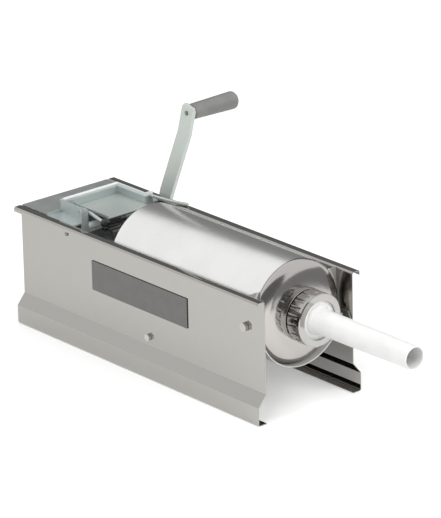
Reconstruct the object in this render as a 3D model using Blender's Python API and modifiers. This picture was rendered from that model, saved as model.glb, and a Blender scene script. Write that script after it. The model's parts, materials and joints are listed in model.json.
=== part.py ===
"""Horizontal sausage stuffer with a side crank, a toothed rack and a lying cylinder.

Metres, +Z up. The machine is drawn about the middle of its body, on the table, with +X towards
the nozzle and +Y towards the crank. One empty then carries the whole machine so that the origin
lies under the middle of its overall footprint.
"""

import math

import bmesh
import bpy
from mathutils import Matrix, Vector

# General clearances and faceting
GAP = 0.0003
SEAM_GAP = 0.0005
ROUND_STEPS = 48
TUBE_STEPS = 36
GRIP_STEPS = 28
SMALL_ROUND_STEPS = 20
HEXAGON = 6
DOME_STEPS = 7
ROLL_STEPS = 12
SEAT_STEPS = 14
BAND_STEPS = 28
CUT_MARGIN = 0.004
SOFT_ANGLE = math.radians(35.0)

# Body sheet
RIM_RISE = 0.036
BODY_SHEET = 0.0012
SKIRT_OUTSET = 0.0115
SKIRT_HEIGHT = 0.023
STEP_RISE = 0.014
HEM_WIDTH = 0.012
RIM_WIDTH = 0.0115
RIM_LIP = 0.006
BEND_RADIUS = 0.002

# Cylinder, neck and nozzle
CYLINDER_DIAMETER = 0.125
CYLINDER_WALL = 0.0012
CYLINDER_SIDE_GAP = 0.0038
CYLINDER_LENGTH = 0.2585
CYLINDER_SETBACK = 0.0245
CYLINDER_REAR_GAP = 0.061
DOME_DEPTH = 0.015
DOME_FULLNESS = 2.1
COLLAR_WIDTH = 0.006
COLLAR_LENGTH = 0.0055
NECK_DIAMETER = 0.052
NECK_LENGTH = 0.021
NECK_WALL = 0.0025
RING_NUT_WALL = 0.0057
RING_NUT_REAR_GAP = 0.0012
RING_NUT_BAND = 0.005
RING_NUT_LIP = 0.0025
RING_NUT_CHAMFER = 0.001
RING_NUT_SCALLOPS = 20
RING_NUT_SCALLOP_RADIUS = 0.0035
RING_NUT_SCALLOP_DEPTH = 0.0012
RING_NUT_SCALLOP_STEPS = 16
GASKET_THICKNESS = 0.0014
NOZZLE_FLANGE = 0.0024
NOZZLE_SEAT_WIDTH = 0.0026
NOZZLE_DIAMETER = 0.030
NOZZLE_TIP_DIAMETER = 0.0285
NOZZLE_WALL = 0.0018
NOZZLE_EDGE = 0.0005
NOZZLE_CONE = 0.008
NOZZLE_FILLET = 0.003
NOZZLE_REACH = 0.157

# Piston
PISTON_THICKNESS = 0.018
PISTON_CLEARANCE = 0.0006
PISTON_EDGE = 0.0012
PISTON_SETBACK = 0.0025
SEAL_WIDTH = 0.005
SEAL_DEPTH = 0.0045
SEAL_LAND = 0.002
BACK_PLATE_DIAMETER = 0.090
BACK_PLATE_THICKNESS = 0.003
PISTON_SCREW_DIAMETER = 0.008
PISTON_SCREW_HEAD = 0.018
PISTON_SCREW_HEAD_HEIGHT = 0.005
PISTON_SCREW_GRIP = 0.022

# Rack and pinion
MODULE = 0.00225
PINION_TEETH = 9
PRESSURE_ANGLE = math.radians(20.0)
RACK_ADDENDUM = 0.0011
TIP_CLEARANCE = 0.0005
FLANK_STEPS = 4
BACKLASH = 0.0003
PINION_WIDTH = 0.018
PINION_HUB_LENGTH = 0.009
RACK_WIDTH = 0.014
RACK_HEIGHT = 0.026
RACK_TAIL = 0.028

# Gear frame, cover and guide
FRAME_SETBACK = 0.047
FRAME_LENGTH = 0.055
FRAME_MARGIN = 0.0225
FRAME_RISE = 0.0135
FRAME_DROP = 0.030
FRAME_SHEET = 0.002
FRAME_FLANGE = 0.010
FRAME_ROLL = 0.0042
FOOT_INSET = 0.0006
FOOT_DROP = 0.0018
FOOT_LIP = 0.003
COVER_SHEET = 0.0012
COVER_CLEARANCE = 0.0007
COVER_OVERHANG = 0.010
COVER_LEFT_EDGE = 0.023
COVER_LIP = 0.004
COVER_BEND = 0.0015
GUIDE_LENGTH = 0.026
GUIDE_DEPTH = 0.012
GUIDE_SHELF_DROP = 0.0018
GUIDE_CHEEK = 0.0057
GUIDE_CHEEK_RISE = 0.010
RACK_WINDOW_MARGIN = 0.004

# Crank shaft and bushes
SHAFT_SETBACK = 0.014
SHAFT_DIAMETER = 0.012
BUSH_WALL = 0.0020
BUSH_FLANGE = 0.002
BUSH_FLANGE_WIDTH = 0.0015
SHAFT_SQUARE = 0.009
SHAFT_THREAD_DIAMETER = 0.008
WALL_HOLE_MARGIN = 0.001
PIN_DIAMETER = 0.004
CRANK_NUT_HEAD = 0.013
CRANK_NUT_HEIGHT = 0.0055

# Crank arm and grip
ARM_CLEARANCE = 0.003
ARM_WIDTH = 0.020
ARM_THICKNESS = 0.0055
ARM_JOGGLE = 0.012
ARM_LOWER_BEND = 0.017
ARM_UPPER_BEND = 0.099
ARM_TOP_MARGIN = 0.0092
ARM_CORNER = 0.004
ARM_CORNER_WIDTH = 0.0024
ARM_END_STEPS = 6
AXLE_DOME = 0.001
CRANK_RADIUS = 0.1268
CRANK_REST_ANGLE = math.radians(15.8)
GRIP_LENGTH = 0.070
GRIP_DOME = 0.0064
GRIP_DOME_STEPS = 5
GRIP_DIAMETER = 0.0222
GRIP_NECK_DIAMETER = 0.0194
GRIP_BORE_DEPTH = 0.058
GRIP_AXLE_DIAMETER = 0.008
AXLE_TENON_DIAMETER = 0.0042
RIVET_HEAD = 0.0062
RIVET_HEIGHT = 0.0014
RIVET_EDGE = 0.0009
GRIP_WASHER = 0.0012
GRIP_WASHER_DIAMETER = 0.0155

# Cradle, tie rod and fasteners
CRADLE_SETBACK = 0.0262
CRADLE_SHEET = 0.0015
CRADLE_DROP = 0.024
SADDLE_LENGTH = 0.014
SADDLE_SHEET = 0.0014
SADDLE_HALF_ANGLE = math.radians(75.0)
CRADLE_TAB_LENGTH = 0.014
CRADLE_TAB_HEIGHT = 0.026
CRADLE_BOLT_REACH = 0.0017
CRADLE_BOLT_SETBACK = 0.005
CRADLE_BOLT_DROP = 0.0034
TIE_ROD_X = 0.0155
TIE_ROD_DIAMETER = 0.008
TIE_ROD_RISE = 0.0102
TIE_BOLT_DIAMETER = 0.004
TIE_BOLT_REACH = 0.012
TIE_BOLT_HEAD = 0.008
TIE_BOLT_HEAD_HEIGHT = 0.0035
BOLT_DIAMETER = 0.006
BOLT_HEAD = 0.0105
BOLT_HEAD_HEIGHT = 0.0045
GUIDE_BOLT_REACH = 0.012
RETAINER_DIAMETER = 0.006
RETAINER_HEIGHT = 0.0016
RETAINER_CROWN = 0.0004
RETAINER_SCREW = 0.003
RETAINER_REACH = 0.008

# Name plate
PLATE_LENGTH = 0.175
PLATE_HEIGHT = 0.037
PLATE_THICKNESS = 0.001
PLATE_CENTRE_HEIGHT = 0.0970

# Bent rods on the gear frame
ROD_DIAMETER = 0.0044
BRACE_REACH = 0.044
BRACE_BEND = 0.018
BRACE_LEAD = 0.0063
BRACE_ROOT = 0.0062
BRACE_END = 0.006
BRACE_STEPS = 6
LEVER_LENGTH = 0.041
LEVER_DROP = 0.0045
LEVER_BEND_SETBACK = 0.0014
LEVER_BEND_RISE = 0.0009
LEVER_TAIL = 0.014
LEVER_TOP_MARGIN = 0.0058
KNOB_DIAMETER = 0.012
KNOB_SOCKET_SETBACK = 0.003
LEVER_PIN_DIAMETER = 0.004
LEVER_PIN_HEAD = 0.008
LEVER_PIN_HEIGHT = 0.002
LEVER_PIN_EDGE = 0.0008

# Places worked out from the sizes above
BODY_WIDTH = CYLINDER_DIAMETER + 2.0 * (CYLINDER_SIDE_GAP + BODY_SHEET)
BODY_LENGTH = FRAME_SETBACK + FRAME_LENGTH + CYLINDER_REAR_GAP + CYLINDER_LENGTH + CYLINDER_SETBACK
BODY_REAR = -BODY_LENGTH / 2.0
BODY_FRONT = BODY_LENGTH / 2.0
WALL_OUT = BODY_WIDTH / 2.0
WALL_IN = WALL_OUT - BODY_SHEET
SIDE_OUT = WALL_OUT + max(SKIRT_OUTSET, RIM_WIDTH)
STEP_TOP = SKIRT_HEIGHT + STEP_RISE

CYL_RADIUS = CYLINDER_DIAMETER / 2.0
TIE_ROD_Z = STEP_TOP + TIE_ROD_RISE
AXIS_HEIGHT = TIE_ROD_Z + TIE_ROD_DIAMETER / 2.0 + GAP + CYL_RADIUS
RIM_HEIGHT = AXIS_HEIGHT + RIM_RISE
BORE_RADIUS = CYL_RADIUS - CYLINDER_WALL
SHOULDER_X = BODY_FRONT - CYLINDER_SETBACK
CYL_REAR = SHOULDER_X - CYLINDER_LENGTH
NECK_RADIUS = NECK_DIAMETER / 2.0
NECK_ROOT = SHOULDER_X + DOME_DEPTH
NECK_END = NECK_ROOT + NECK_LENGTH
COLLAR_RADIUS = NECK_RADIUS + COLLAR_WIDTH
COLLAR_END = NECK_ROOT + COLLAR_LENGTH
GASKET_START = NECK_END + GAP
FLANGE_START = GASKET_START + GASKET_THICKNESS + GAP
FLANGE_END = FLANGE_START + NOZZLE_FLANGE
NUT_LIP_START = FLANGE_END + GAP
NUT_FRONT = NUT_LIP_START + RING_NUT_LIP
NUT_REAR = COLLAR_END + RING_NUT_REAR_GAP
NOZZLE_TIP = NUT_FRONT + NOZZLE_REACH

PITCH_RADIUS = MODULE * PINION_TEETH / 2.0
TIP_RADIUS = PITCH_RADIUS + MODULE
ROOT_RADIUS = PITCH_RADIUS - RACK_ADDENDUM - TIP_CLEARANCE
RACK_TOP = AXIS_HEIGHT + RACK_HEIGHT / 2.0
RACK_BOTTOM = AXIS_HEIGHT - RACK_HEIGHT / 2.0
PITCH_LINE = RACK_TOP - RACK_ADDENDUM

FRAME_REAR = BODY_REAR + FRAME_SETBACK
FRAME_FRONT = FRAME_REAR + FRAME_LENGTH
FRAME_OUT = WALL_OUT - FRAME_MARGIN
FRAME_IN = FRAME_OUT - FRAME_SHEET
FRAME_TOP = RIM_HEIGHT + FRAME_RISE
FRAME_BOTTOM = AXIS_HEIGHT - FRAME_DROP
SHAFT_X = FRAME_FRONT - SHAFT_SETBACK
SHAFT_Z = PITCH_LINE + PITCH_RADIUS
SHAFT_RADIUS = SHAFT_DIAMETER / 2.0
COVER_BOTTOM = SHAFT_Z + TIP_RADIUS + COVER_CLEARANCE
GUIDE_FLOOR = RACK_BOTTOM - GAP

PISTON_FRONT = SHOULDER_X - PISTON_SETBACK
PISTON_REAR = PISTON_FRONT - PISTON_THICKNESS
BACK_PLATE_FRONT = PISTON_REAR - GAP
BACK_PLATE_REAR = BACK_PLATE_FRONT - BACK_PLATE_THICKNESS
RACK_FRONT = BACK_PLATE_REAR - GAP
RACK_REAR = SHAFT_X - RACK_TAIL

ARM_IN = SIDE_OUT + ARM_CLEARANCE
ARM_OUT = ARM_IN + ARM_THICKNESS
ARM_TOP_OUT = ARM_OUT + ARM_JOGGLE
ARM_TOP_IN = ARM_IN + ARM_JOGGLE
GRIP_START = ARM_TOP_OUT + GRIP_WASHER + 2.0 * GAP
GRIP_END = GRIP_START + GRIP_LENGTH

CRADLE_FRONT = BODY_FRONT - CRADLE_SETBACK
CRADLE_REAR = CRADLE_FRONT - CRADLE_SHEET
CRADLE_HALF = WALL_IN - GAP
CRADLE_FOOT = AXIS_HEIGHT - CRADLE_DROP
CRADLE_BOLT_X = CRADLE_REAR - CRADLE_BOLT_SETBACK
CRADLE_BOLT_Z = AXIS_HEIGHT - CRADLE_BOLT_DROP

LEVER_PIVOT_X = FRAME_FRONT - LEVER_TAIL
LEVER_PIVOT_Z = FRAME_TOP - LEVER_TOP_MARGIN
LEVER_Y = -(FRAME_IN - GAP - ROD_DIAMETER / 2.0)

# The origin lies under the middle of the overall footprint
FOOTPRINT_X = (BODY_REAR + NOZZLE_TIP) / 2.0
FOOTPRINT_Y = (GRIP_END - SIDE_OUT) / 2.0

# Axes that turn a drawing plane into a place on the machine
IN_XZ = Matrix(((1, 0, 0, 0), (0, 0, -1, 0), (0, 1, 0, 0), (0, 0, 0, 1)))
IN_YZ = Matrix(((0, 0, 1, 0), (1, 0, 0, 0), (0, 1, 0, 0), (0, 0, 0, 1)))
ALONG_X = Matrix.Rotation(math.pi / 2.0, 4, "Y")
ALONG_Y = Matrix.Rotation(-math.pi / 2.0, 4, "X")

FINISHES = {
    "polished_steel": ((0.62, 0.61, 0.60), 0.12, 1.0),
    "satin_steel": ((0.60, 0.59, 0.58), 0.30, 1.0),
    "zinc_plate": ((0.60, 0.66, 0.66), 0.28, 1.0),
    "dark_steel": ((0.20, 0.20, 0.21), 0.40, 1.0),
    "bronze": ((0.58, 0.42, 0.22), 0.35, 1.0),
    "white_plastic": ((0.90, 0.90, 0.89), 0.35, 0.0),
    "grey_plastic": ((0.24, 0.24, 0.24), 0.45, 0.0),
    "black_plastic": ((0.03, 0.03, 0.03), 0.30, 0.0),
    "seal_rubber": ((0.70, 0.68, 0.62), 0.60, 0.0),
}


class Builder:
    """Holds the collections and the empties that the pieces are parented to."""

    def __init__(self):
        for old in list(bpy.data.objects):
            bpy.data.objects.remove(old, do_unlink=True)
        self.parts = self.new_collection("sausage_stuffer")
        self.cutters = self.new_collection("cutters")
        self.materials = {}
        self.machine = self.empty("machine", Vector((-FOOTPRINT_X, -FOOTPRINT_Y, 0.0)), None)
        self.bodies = {"base": (self.machine, Vector())}

    def new_collection(self, name):
        collection = bpy.data.collections.new(name)
        bpy.context.scene.collection.children.link(collection)
        return collection

    def empty(self, name, place, parent):
        holder = bpy.data.objects.new(name, None)
        holder.empty_display_size = 0.02
        holder.location = place
        holder.parent = parent
        self.parts.objects.link(holder)
        return holder

    def add_body(self, name, axis_point):
        """Puts an empty on the joint axis of a moving body."""
        self.bodies[name] = (self.empty(name + "_axis", axis_point, self.machine), axis_point)

    def material(self, name):
        if name not in self.materials:
            colour, roughness, metallic = FINISHES[name]
            finish = bpy.data.materials.new(name)
            finish.use_nodes = True
            shader = finish.node_tree.nodes["Principled BSDF"]
            shader.inputs["Base Color"].default_value = (*colour, 1.0)
            shader.inputs["Roughness"].default_value = roughness
            shader.inputs["Metallic"].default_value = metallic
            finish.diffuse_color = (*colour, 1.0)
            self.materials[name] = finish
        return self.materials[name]

    def place(self, name, mesh, matrix, body, finish):
        """Makes a named sub-part from a mesh and hangs it on its body's empty."""
        piece = bpy.data.objects.new(name, mesh)
        self.parts.objects.link(piece)
        holder, axis_point = self.bodies[body]
        piece.parent = holder
        piece.matrix_local = Matrix.Translation(-axis_point) @ matrix
        mesh.materials.append(self.material(finish))
        return piece

    def hidden(self, name, mesh, matrix):
        """Makes a shape that only cuts, or is joined to, another piece."""
        shape = bpy.data.objects.new(name, mesh)
        self.cutters.objects.link(shape)
        shape.parent = self.machine
        shape.matrix_local = matrix
        shape.hide_render = True
        shape.display_type = "WIRE"
        return shape

    def combine(self, piece, mesh, matrix, operation):
        shape = self.hidden(piece.name + "_" + operation.lower(), mesh, matrix)
        modifier = piece.modifiers.new(shape.name, "BOOLEAN")
        modifier.operation = operation
        modifier.solver = "EXACT"
        modifier.object = shape

    def cut(self, piece, mesh, matrix):
        self.combine(piece, mesh, matrix, "DIFFERENCE")

    def join(self, piece, mesh, matrix):
        self.combine(piece, mesh, matrix, "UNION")


def finish_mesh(bm, name):
    mesh = bpy.data.meshes.new(name)
    bmesh.ops.recalc_face_normals(bm, faces=bm.faces)
    bm.to_mesh(mesh)
    bm.free()
    return mesh


def shade_round(mesh, angle=SOFT_ANGLE):
    mesh.shade_smooth()
    mesh.set_sharp_from_angle(angle=angle)


def block(name, low, high):
    """A box between two corners, as mesh in machine coordinates."""
    low, high = Vector(low), Vector(high)
    bm = bmesh.new()
    scale = Matrix.Diagonal((*(high - low), 1.0))
    bmesh.ops.create_cube(bm, size=1.0, matrix=Matrix.Translation((low + high) / 2.0) @ scale)
    return finish_mesh(bm, name)


def rod(name, radius, low, high, steps=SMALL_ROUND_STEPS):
    """A round bar about local Z from low to high."""
    bm = bmesh.new()
    middle = Matrix.Translation((0.0, 0.0, (low + high) / 2.0))
    bmesh.ops.create_cone(
        bm, cap_ends=True, segments=steps, radius1=radius, radius2=radius, depth=high - low, matrix=middle
    )
    mesh = finish_mesh(bm, name)
    shade_round(mesh)
    return mesh


def evaluated_copy(holder, name):
    """The evaluated mesh of a helper object, welded, with the helper removed."""
    graph = bpy.context.evaluated_depsgraph_get()
    mesh = bpy.data.meshes.new_from_object(holder.evaluated_get(graph))
    mesh.name = name
    mesh.materials.clear()
    source = holder.data
    bpy.data.objects.remove(holder, do_unlink=True)
    if isinstance(source, bpy.types.Curve):
        bpy.data.curves.remove(source)
    else:
        bpy.data.meshes.remove(source)
    bm = bmesh.new()
    bm.from_mesh(mesh)
    bmesh.ops.remove_doubles(bm, verts=bm.verts, dist=1e-6)
    bmesh.ops.recalc_face_normals(bm, faces=bm.faces)
    bm.to_mesh(mesh)
    bm.free()
    return mesh


def turned(name, profile, steps=ROUND_STEPS):
    """A turned shape about local Z from a closed profile of (radius, height) points."""
    bm = bmesh.new()
    points = [bm.verts.new((radius, 0.0, height)) for radius, height in profile]
    for index, point in enumerate(points):
        following = points[(index + 1) % len(points)]
        on_axis = point.co.x < 1e-7 and following.co.x < 1e-7
        if not on_axis:
            bm.edges.new((point, following))
    mesh = bpy.data.meshes.new(name)
    bm.to_mesh(mesh)
    bm.free()
    holder = bpy.data.objects.new(name + "_profile", mesh)
    bpy.context.scene.collection.objects.link(holder)
    screw = holder.modifiers.new("turn", "SCREW")
    screw.axis = "Z"
    screw.angle = 2.0 * math.pi
    screw.steps = steps
    screw.render_steps = steps
    screw.use_merge_vertices = True
    screw.merge_threshold = 0.00001
    turned_mesh = evaluated_copy(holder, name)
    shade_round(turned_mesh)
    return turned_mesh


def outline_solid(name, loops, thickness):
    """A flat outline in local XY, with further loops as holes, given a thickness along Z."""
    curve = bpy.data.curves.new(name, "CURVE")
    curve.dimensions = "2D"
    curve.fill_mode = "BOTH"
    curve.extrude = thickness / 2.0
    for loop in loops:
        spline = curve.splines.new("POLY")
        spline.points.add(len(loop) - 1)
        spline.use_cyclic_u = True
        for point, (across, along) in zip(spline.points, loop):
            point.co = (across, along, 0.0, 1.0)
    holder = bpy.data.objects.new(name + "_outline", curve)
    bpy.context.scene.collection.objects.link(holder)
    return evaluated_copy(holder, name)


def bent_rod(name, points, diameter):
    """A round wire along a list of points, with closed ends."""
    curve = bpy.data.curves.new(name, "CURVE")
    curve.dimensions = "3D"
    curve.bevel_depth = diameter / 2.0
    curve.bevel_resolution = 3
    curve.use_fill_caps = True
    spline = curve.splines.new("POLY")
    spline.points.add(len(points) - 1)
    for point, place in zip(spline.points, points):
        point.co = (*place, 1.0)
    holder = bpy.data.objects.new(name + "_path", curve)
    bpy.context.scene.collection.objects.link(holder)
    mesh = evaluated_copy(holder, name)
    shade_round(mesh)
    return mesh


def arc_points(centre, radius, start, end, steps):
    """Points on an arc in a drawing plane, both ends included."""
    points = []
    for step in range(steps + 1):
        angle = start + (end - start) * step / steps
        points.append((centre[0] + radius * math.cos(angle), centre[1] + radius * math.sin(angle)))
    return points


def rounded_path(points, radius, steps=3):
    """Rounds the inner corners of an open path of 2D points."""
    path = [Vector(points[0])]
    for before, corner, after in zip(points, points[1:], points[2:]):
        corner = Vector(corner)
        to_before = (Vector(before) - corner).normalized()
        to_after = (Vector(after) - corner).normalized()
        turn = math.pi - to_before.angle(to_after)
        trim = radius * math.tan(turn / 2.0)
        start = corner + to_before * trim
        end = corner + to_after * trim
        middle = corner + (to_before + to_after).normalized() * (radius / math.cos(turn / 2.0))
        first = start - middle
        sweep = first.angle_signed(end - middle)
        for step in range(steps + 1):
            turned_arm = Matrix.Rotation(-sweep * step / steps, 2) @ first
            path.append(middle + turned_arm)
    path.append(Vector(points[-1]))
    return path


def offset_path(points, distance):
    """Moves an open 2D path sideways to its left, with mitred corners."""
    moved = []
    for index, point in enumerate(points):
        here = Vector(point)
        normals = []
        if index > 0:
            way = here - Vector(points[index - 1])
            normals.append(Vector((-way.y, way.x)).normalized())
        if index < len(points) - 1:
            way = Vector(points[index + 1]) - here
            normals.append(Vector((-way.y, way.x)).normalized())
        mitre = sum(normals, Vector((0.0, 0.0))).normalized()
        moved.append(here + mitre * (distance / mitre.dot(normals[0])))
    return moved


def folded_sheet(name, path, low, high, place):
    """An open sheet that follows a 2D path and runs from low to high across it."""
    bm = bmesh.new()
    near = [bm.verts.new(place(point[0], point[1], low)) for point in path]
    for first, second in zip(near, near[1:]):
        bm.edges.new((first, second))
    shifted = bmesh.ops.extrude_edge_only(bm, edges=bm.edges[:])
    move = Vector(place(0.0, 0.0, high)) - Vector(place(0.0, 0.0, low))
    moving = [item for item in shifted["geom"] if isinstance(item, bmesh.types.BMVert)]
    bmesh.ops.translate(bm, verts=moving, vec=move)
    mesh = finish_mesh(bm, name)
    shade_round(mesh)
    return mesh


def thicken(piece, thickness):
    solid = piece.modifiers.new("sheet", "SOLIDIFY")
    solid.thickness = thickness
    solid.offset = 0.0
    solid.use_even_offset = True


def side_path():
    """Middle line of the right wall's section as (y, z), from the hem up to the rim's lip."""
    wall = WALL_OUT - BODY_SHEET / 2.0
    skirt = wall + SKIRT_OUTSET
    low = BODY_SHEET / 2.0
    top = RIM_HEIGHT - BODY_SHEET / 2.0
    return [
        (skirt - HEM_WIDTH, low),
        (skirt, low),
        (skirt, SKIRT_HEIGHT),
        (wall, STEP_TOP),
        (wall, top),
        (wall + RIM_WIDTH - BODY_SHEET / 2.0, top),
        (wall + RIM_WIDTH - BODY_SHEET / 2.0, RIM_HEIGHT - RIM_LIP),
    ]


def make_side_panel(build, name, side):
    """Side 1 is the crank side, side -1 the plate side."""
    path = rounded_path(side_path(), BEND_RADIUS)
    mesh = folded_sheet(name, path, BODY_REAR, BODY_FRONT, lambda y, z, x: (x, side * y, z))
    panel = build.place(name, mesh, Matrix(), "base", "polished_steel")
    thicken(panel, BODY_SHEET)
    low, high = sorted((side * (WALL_IN - CUT_MARGIN), side * (WALL_OUT + CUT_MARGIN)))
    shaft_hole = SHAFT_RADIUS + WALL_HOLE_MARGIN if side > 0 else RETAINER_SCREW / 2.0 + WALL_HOLE_MARGIN
    holes = [
        (CRADLE_BOLT_X, CRADLE_BOLT_Z, BOLT_DIAMETER / 2.0 + GAP),
        (TIE_ROD_X, TIE_ROD_Z, TIE_BOLT_DIAMETER / 2.0 + GAP),
        (SHAFT_X, SHAFT_Z, shaft_hole),
    ]
    for x, z, radius in holes:
        hole = rod(name + "_hole", radius, low, high)
        build.cut(panel, hole, Matrix.Translation((x, 0.0, z)) @ ALONG_Y)


def make_rear_panel(build):
    """Flat end wall that fills the section between the sides, with a shelf up to the gear frame."""
    inner = offset_path(side_path(), BODY_SHEET / 2.0 + SEAM_GAP)
    skirt, step, wall = inner[2], inner[3], inner[4]
    floor = BODY_SHEET + SEAM_GAP
    top = RIM_HEIGHT - BODY_SHEET / 2.0
    bm = bmesh.new()
    half = [(skirt.x, floor), (skirt.x, skirt.y), (step.x, step.y), (wall.x, top)]
    corners = half + [(-y, z) for y, z in reversed(half)]
    x = BODY_REAR + BODY_SHEET / 2.0
    face = bm.faces.new([bm.verts.new((x, y, z)) for y, z in corners])
    top_edge = [edge for edge in face.edges if all(abs(end.co.z - top) < 1e-7 for end in edge.verts)]
    shifted = bmesh.ops.extrude_edge_only(bm, edges=top_edge)
    moving = [item for item in shifted["geom"] if isinstance(item, bmesh.types.BMVert)]
    bmesh.ops.translate(bm, verts=moving, vec=(FRAME_REAR - SEAM_GAP - x, 0.0, 0.0))
    panel = build.place("rear_panel", finish_mesh(bm, "rear_panel"), Matrix(), "base", "polished_steel")
    thicken(panel, BODY_SHEET)
    margin = RACK_WINDOW_MARGIN
    window = block(
        "rear_window",
        (BODY_REAR - margin, -RACK_WIDTH / 2.0 - margin, RACK_BOTTOM - margin),
        (BODY_REAR + margin, RACK_WIDTH / 2.0 + margin, RACK_TOP + margin),
    )
    build.cut(panel, window, Matrix())


def make_front_cradle(build):
    """Saddle under the cylinder between two upright ears, with tabs bolted to the walls."""
    seat = CYL_RADIUS + GAP
    top_angle = math.asin((RIM_HEIGHT - AXIS_HEIGHT) / seat)
    centre = (0.0, AXIS_HEIGHT)
    foot_angle = math.asin((CRADLE_FOOT - AXIS_HEIGHT) / seat)
    ear = [(CRADLE_HALF, CRADLE_FOOT), (CRADLE_HALF, RIM_HEIGHT)]
    ear += arc_points(centre, seat, top_angle, foot_angle, SEAT_STEPS)
    mirrored_ear = [(-y, z) for y, z in reversed(ear)]
    plate = outline_solid("front_cradle", [ear, mirrored_ear], CRADLE_SHEET)
    middle = Matrix.Translation(((CRADLE_FRONT + CRADLE_REAR) / 2.0, 0.0, 0.0)) @ IN_YZ
    cradle = build.place("front_cradle", plate, middle, "base", "satin_steel")

    down = -math.pi / 2.0
    band = arc_points(centre, seat, down - SADDLE_HALF_ANGLE, down + SADDLE_HALF_ANGLE, BAND_STEPS)
    underside = seat + SADDLE_SHEET
    band += arc_points(centre, underside, down + SADDLE_HALF_ANGLE, down - SADDLE_HALF_ANGLE, BAND_STEPS)
    length = SADDLE_LENGTH + CRADLE_SHEET / 2.0
    saddle = outline_solid("saddle", [band], length)
    start = CRADLE_FRONT - CRADLE_SHEET / 2.0
    build.join(cradle, saddle, Matrix.Translation((start + length / 2.0, 0.0, 0.0)) @ IN_YZ)

    for side in (-1, 1):
        inner, outer = sorted((side * (CRADLE_HALF - CRADLE_SHEET), side * CRADLE_HALF))
        tab = block(
            "cradle_tab",
            (CRADLE_REAR - CRADLE_TAB_LENGTH, inner, AXIS_HEIGHT - CRADLE_TAB_HEIGHT / 2.0),
            (CRADLE_FRONT - CRADLE_SHEET / 2.0, outer, AXIS_HEIGHT + CRADLE_TAB_HEIGHT / 2.0),
        )
        build.join(cradle, tab, Matrix())
        low, high = sorted((side * (CRADLE_HALF - 2.0 * CRADLE_SHEET), side * WALL_OUT))
        hole = rod("cradle_hole", BOLT_DIAMETER / 2.0 + GAP, low, high)
        build.cut(cradle, hole, Matrix.Translation((CRADLE_BOLT_X, 0.0, CRADLE_BOLT_Z)) @ ALONG_Y)


def make_bolt(build, name, side, place, sizes, finish):
    """Hexagon bolt whose head lies on the outer face at place, with its shank running inwards."""
    shank, reach, head, height = sizes
    x, seat, z = place
    turn = Matrix.Translation((x, side * seat, z)) @ Matrix.Rotation(-side * math.pi / 2.0, 4, "X")
    across_corners = head / math.cos(math.pi / 6.0)
    hexagon = rod(name, across_corners / 2.0, 0.0, height, HEXAGON)
    bolt = build.place(name, hexagon, turn, "base", finish)
    build.join(bolt, rod(name + "_shank", shank / 2.0, -reach, height / 2.0), turn)


def make_fasteners(build):
    """The bolts of the cradle, the tie rod and the rack guide, one of each on either side."""
    cradle_reach = BODY_SHEET + CRADLE_SHEET + CRADLE_BOLT_REACH
    cradle_sizes = (BOLT_DIAMETER, cradle_reach, BOLT_HEAD, BOLT_HEAD_HEIGHT)
    cradle_place = (CRADLE_BOLT_X, WALL_OUT + GAP, CRADLE_BOLT_Z)
    tie_reach = BODY_SHEET + TIE_BOLT_REACH
    tie_sizes = (TIE_BOLT_DIAMETER, tie_reach, TIE_BOLT_HEAD, TIE_BOLT_HEAD_HEIGHT)
    tie_place = (TIE_ROD_X, WALL_OUT + GAP, TIE_ROD_Z)
    guide_sizes = (BOLT_DIAMETER, FRAME_SHEET + GUIDE_BOLT_REACH, BOLT_HEAD, BOLT_HEAD_HEIGHT)
    guide_place = (SHAFT_X, FRAME_OUT + GAP, GUIDE_FLOOR - GUIDE_DEPTH / 2.0)
    for prefix, side in (("left", -1), ("right", 1)):
        make_bolt(build, prefix + "_cradle_bolt", side, cradle_place, cradle_sizes, "satin_steel")
        make_bolt(build, prefix + "_tie_bolt", side, tie_place, tie_sizes, "satin_steel")
        make_bolt(build, prefix + "_guide_bolt", side, guide_place, guide_sizes, "zinc_plate")


def make_tie_rod(build):
    half = WALL_IN - GAP
    mesh = rod("tie_rod", TIE_ROD_DIAMETER / 2.0, -half, half)
    place = Matrix.Translation((TIE_ROD_X, 0.0, TIE_ROD_Z)) @ ALONG_Y
    tie = build.place("tie_rod", mesh, place, "base", "zinc_plate")
    depth = TIE_BOLT_REACH + 2.0 * GAP
    for side in (-1, 1):
        low, high = sorted((side * (half - depth), side * (half + depth)))
        hole = rod("tie_rod_hole", TIE_BOLT_DIAMETER / 2.0 + GAP, low, high)
        build.cut(tie, hole, place)


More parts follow.
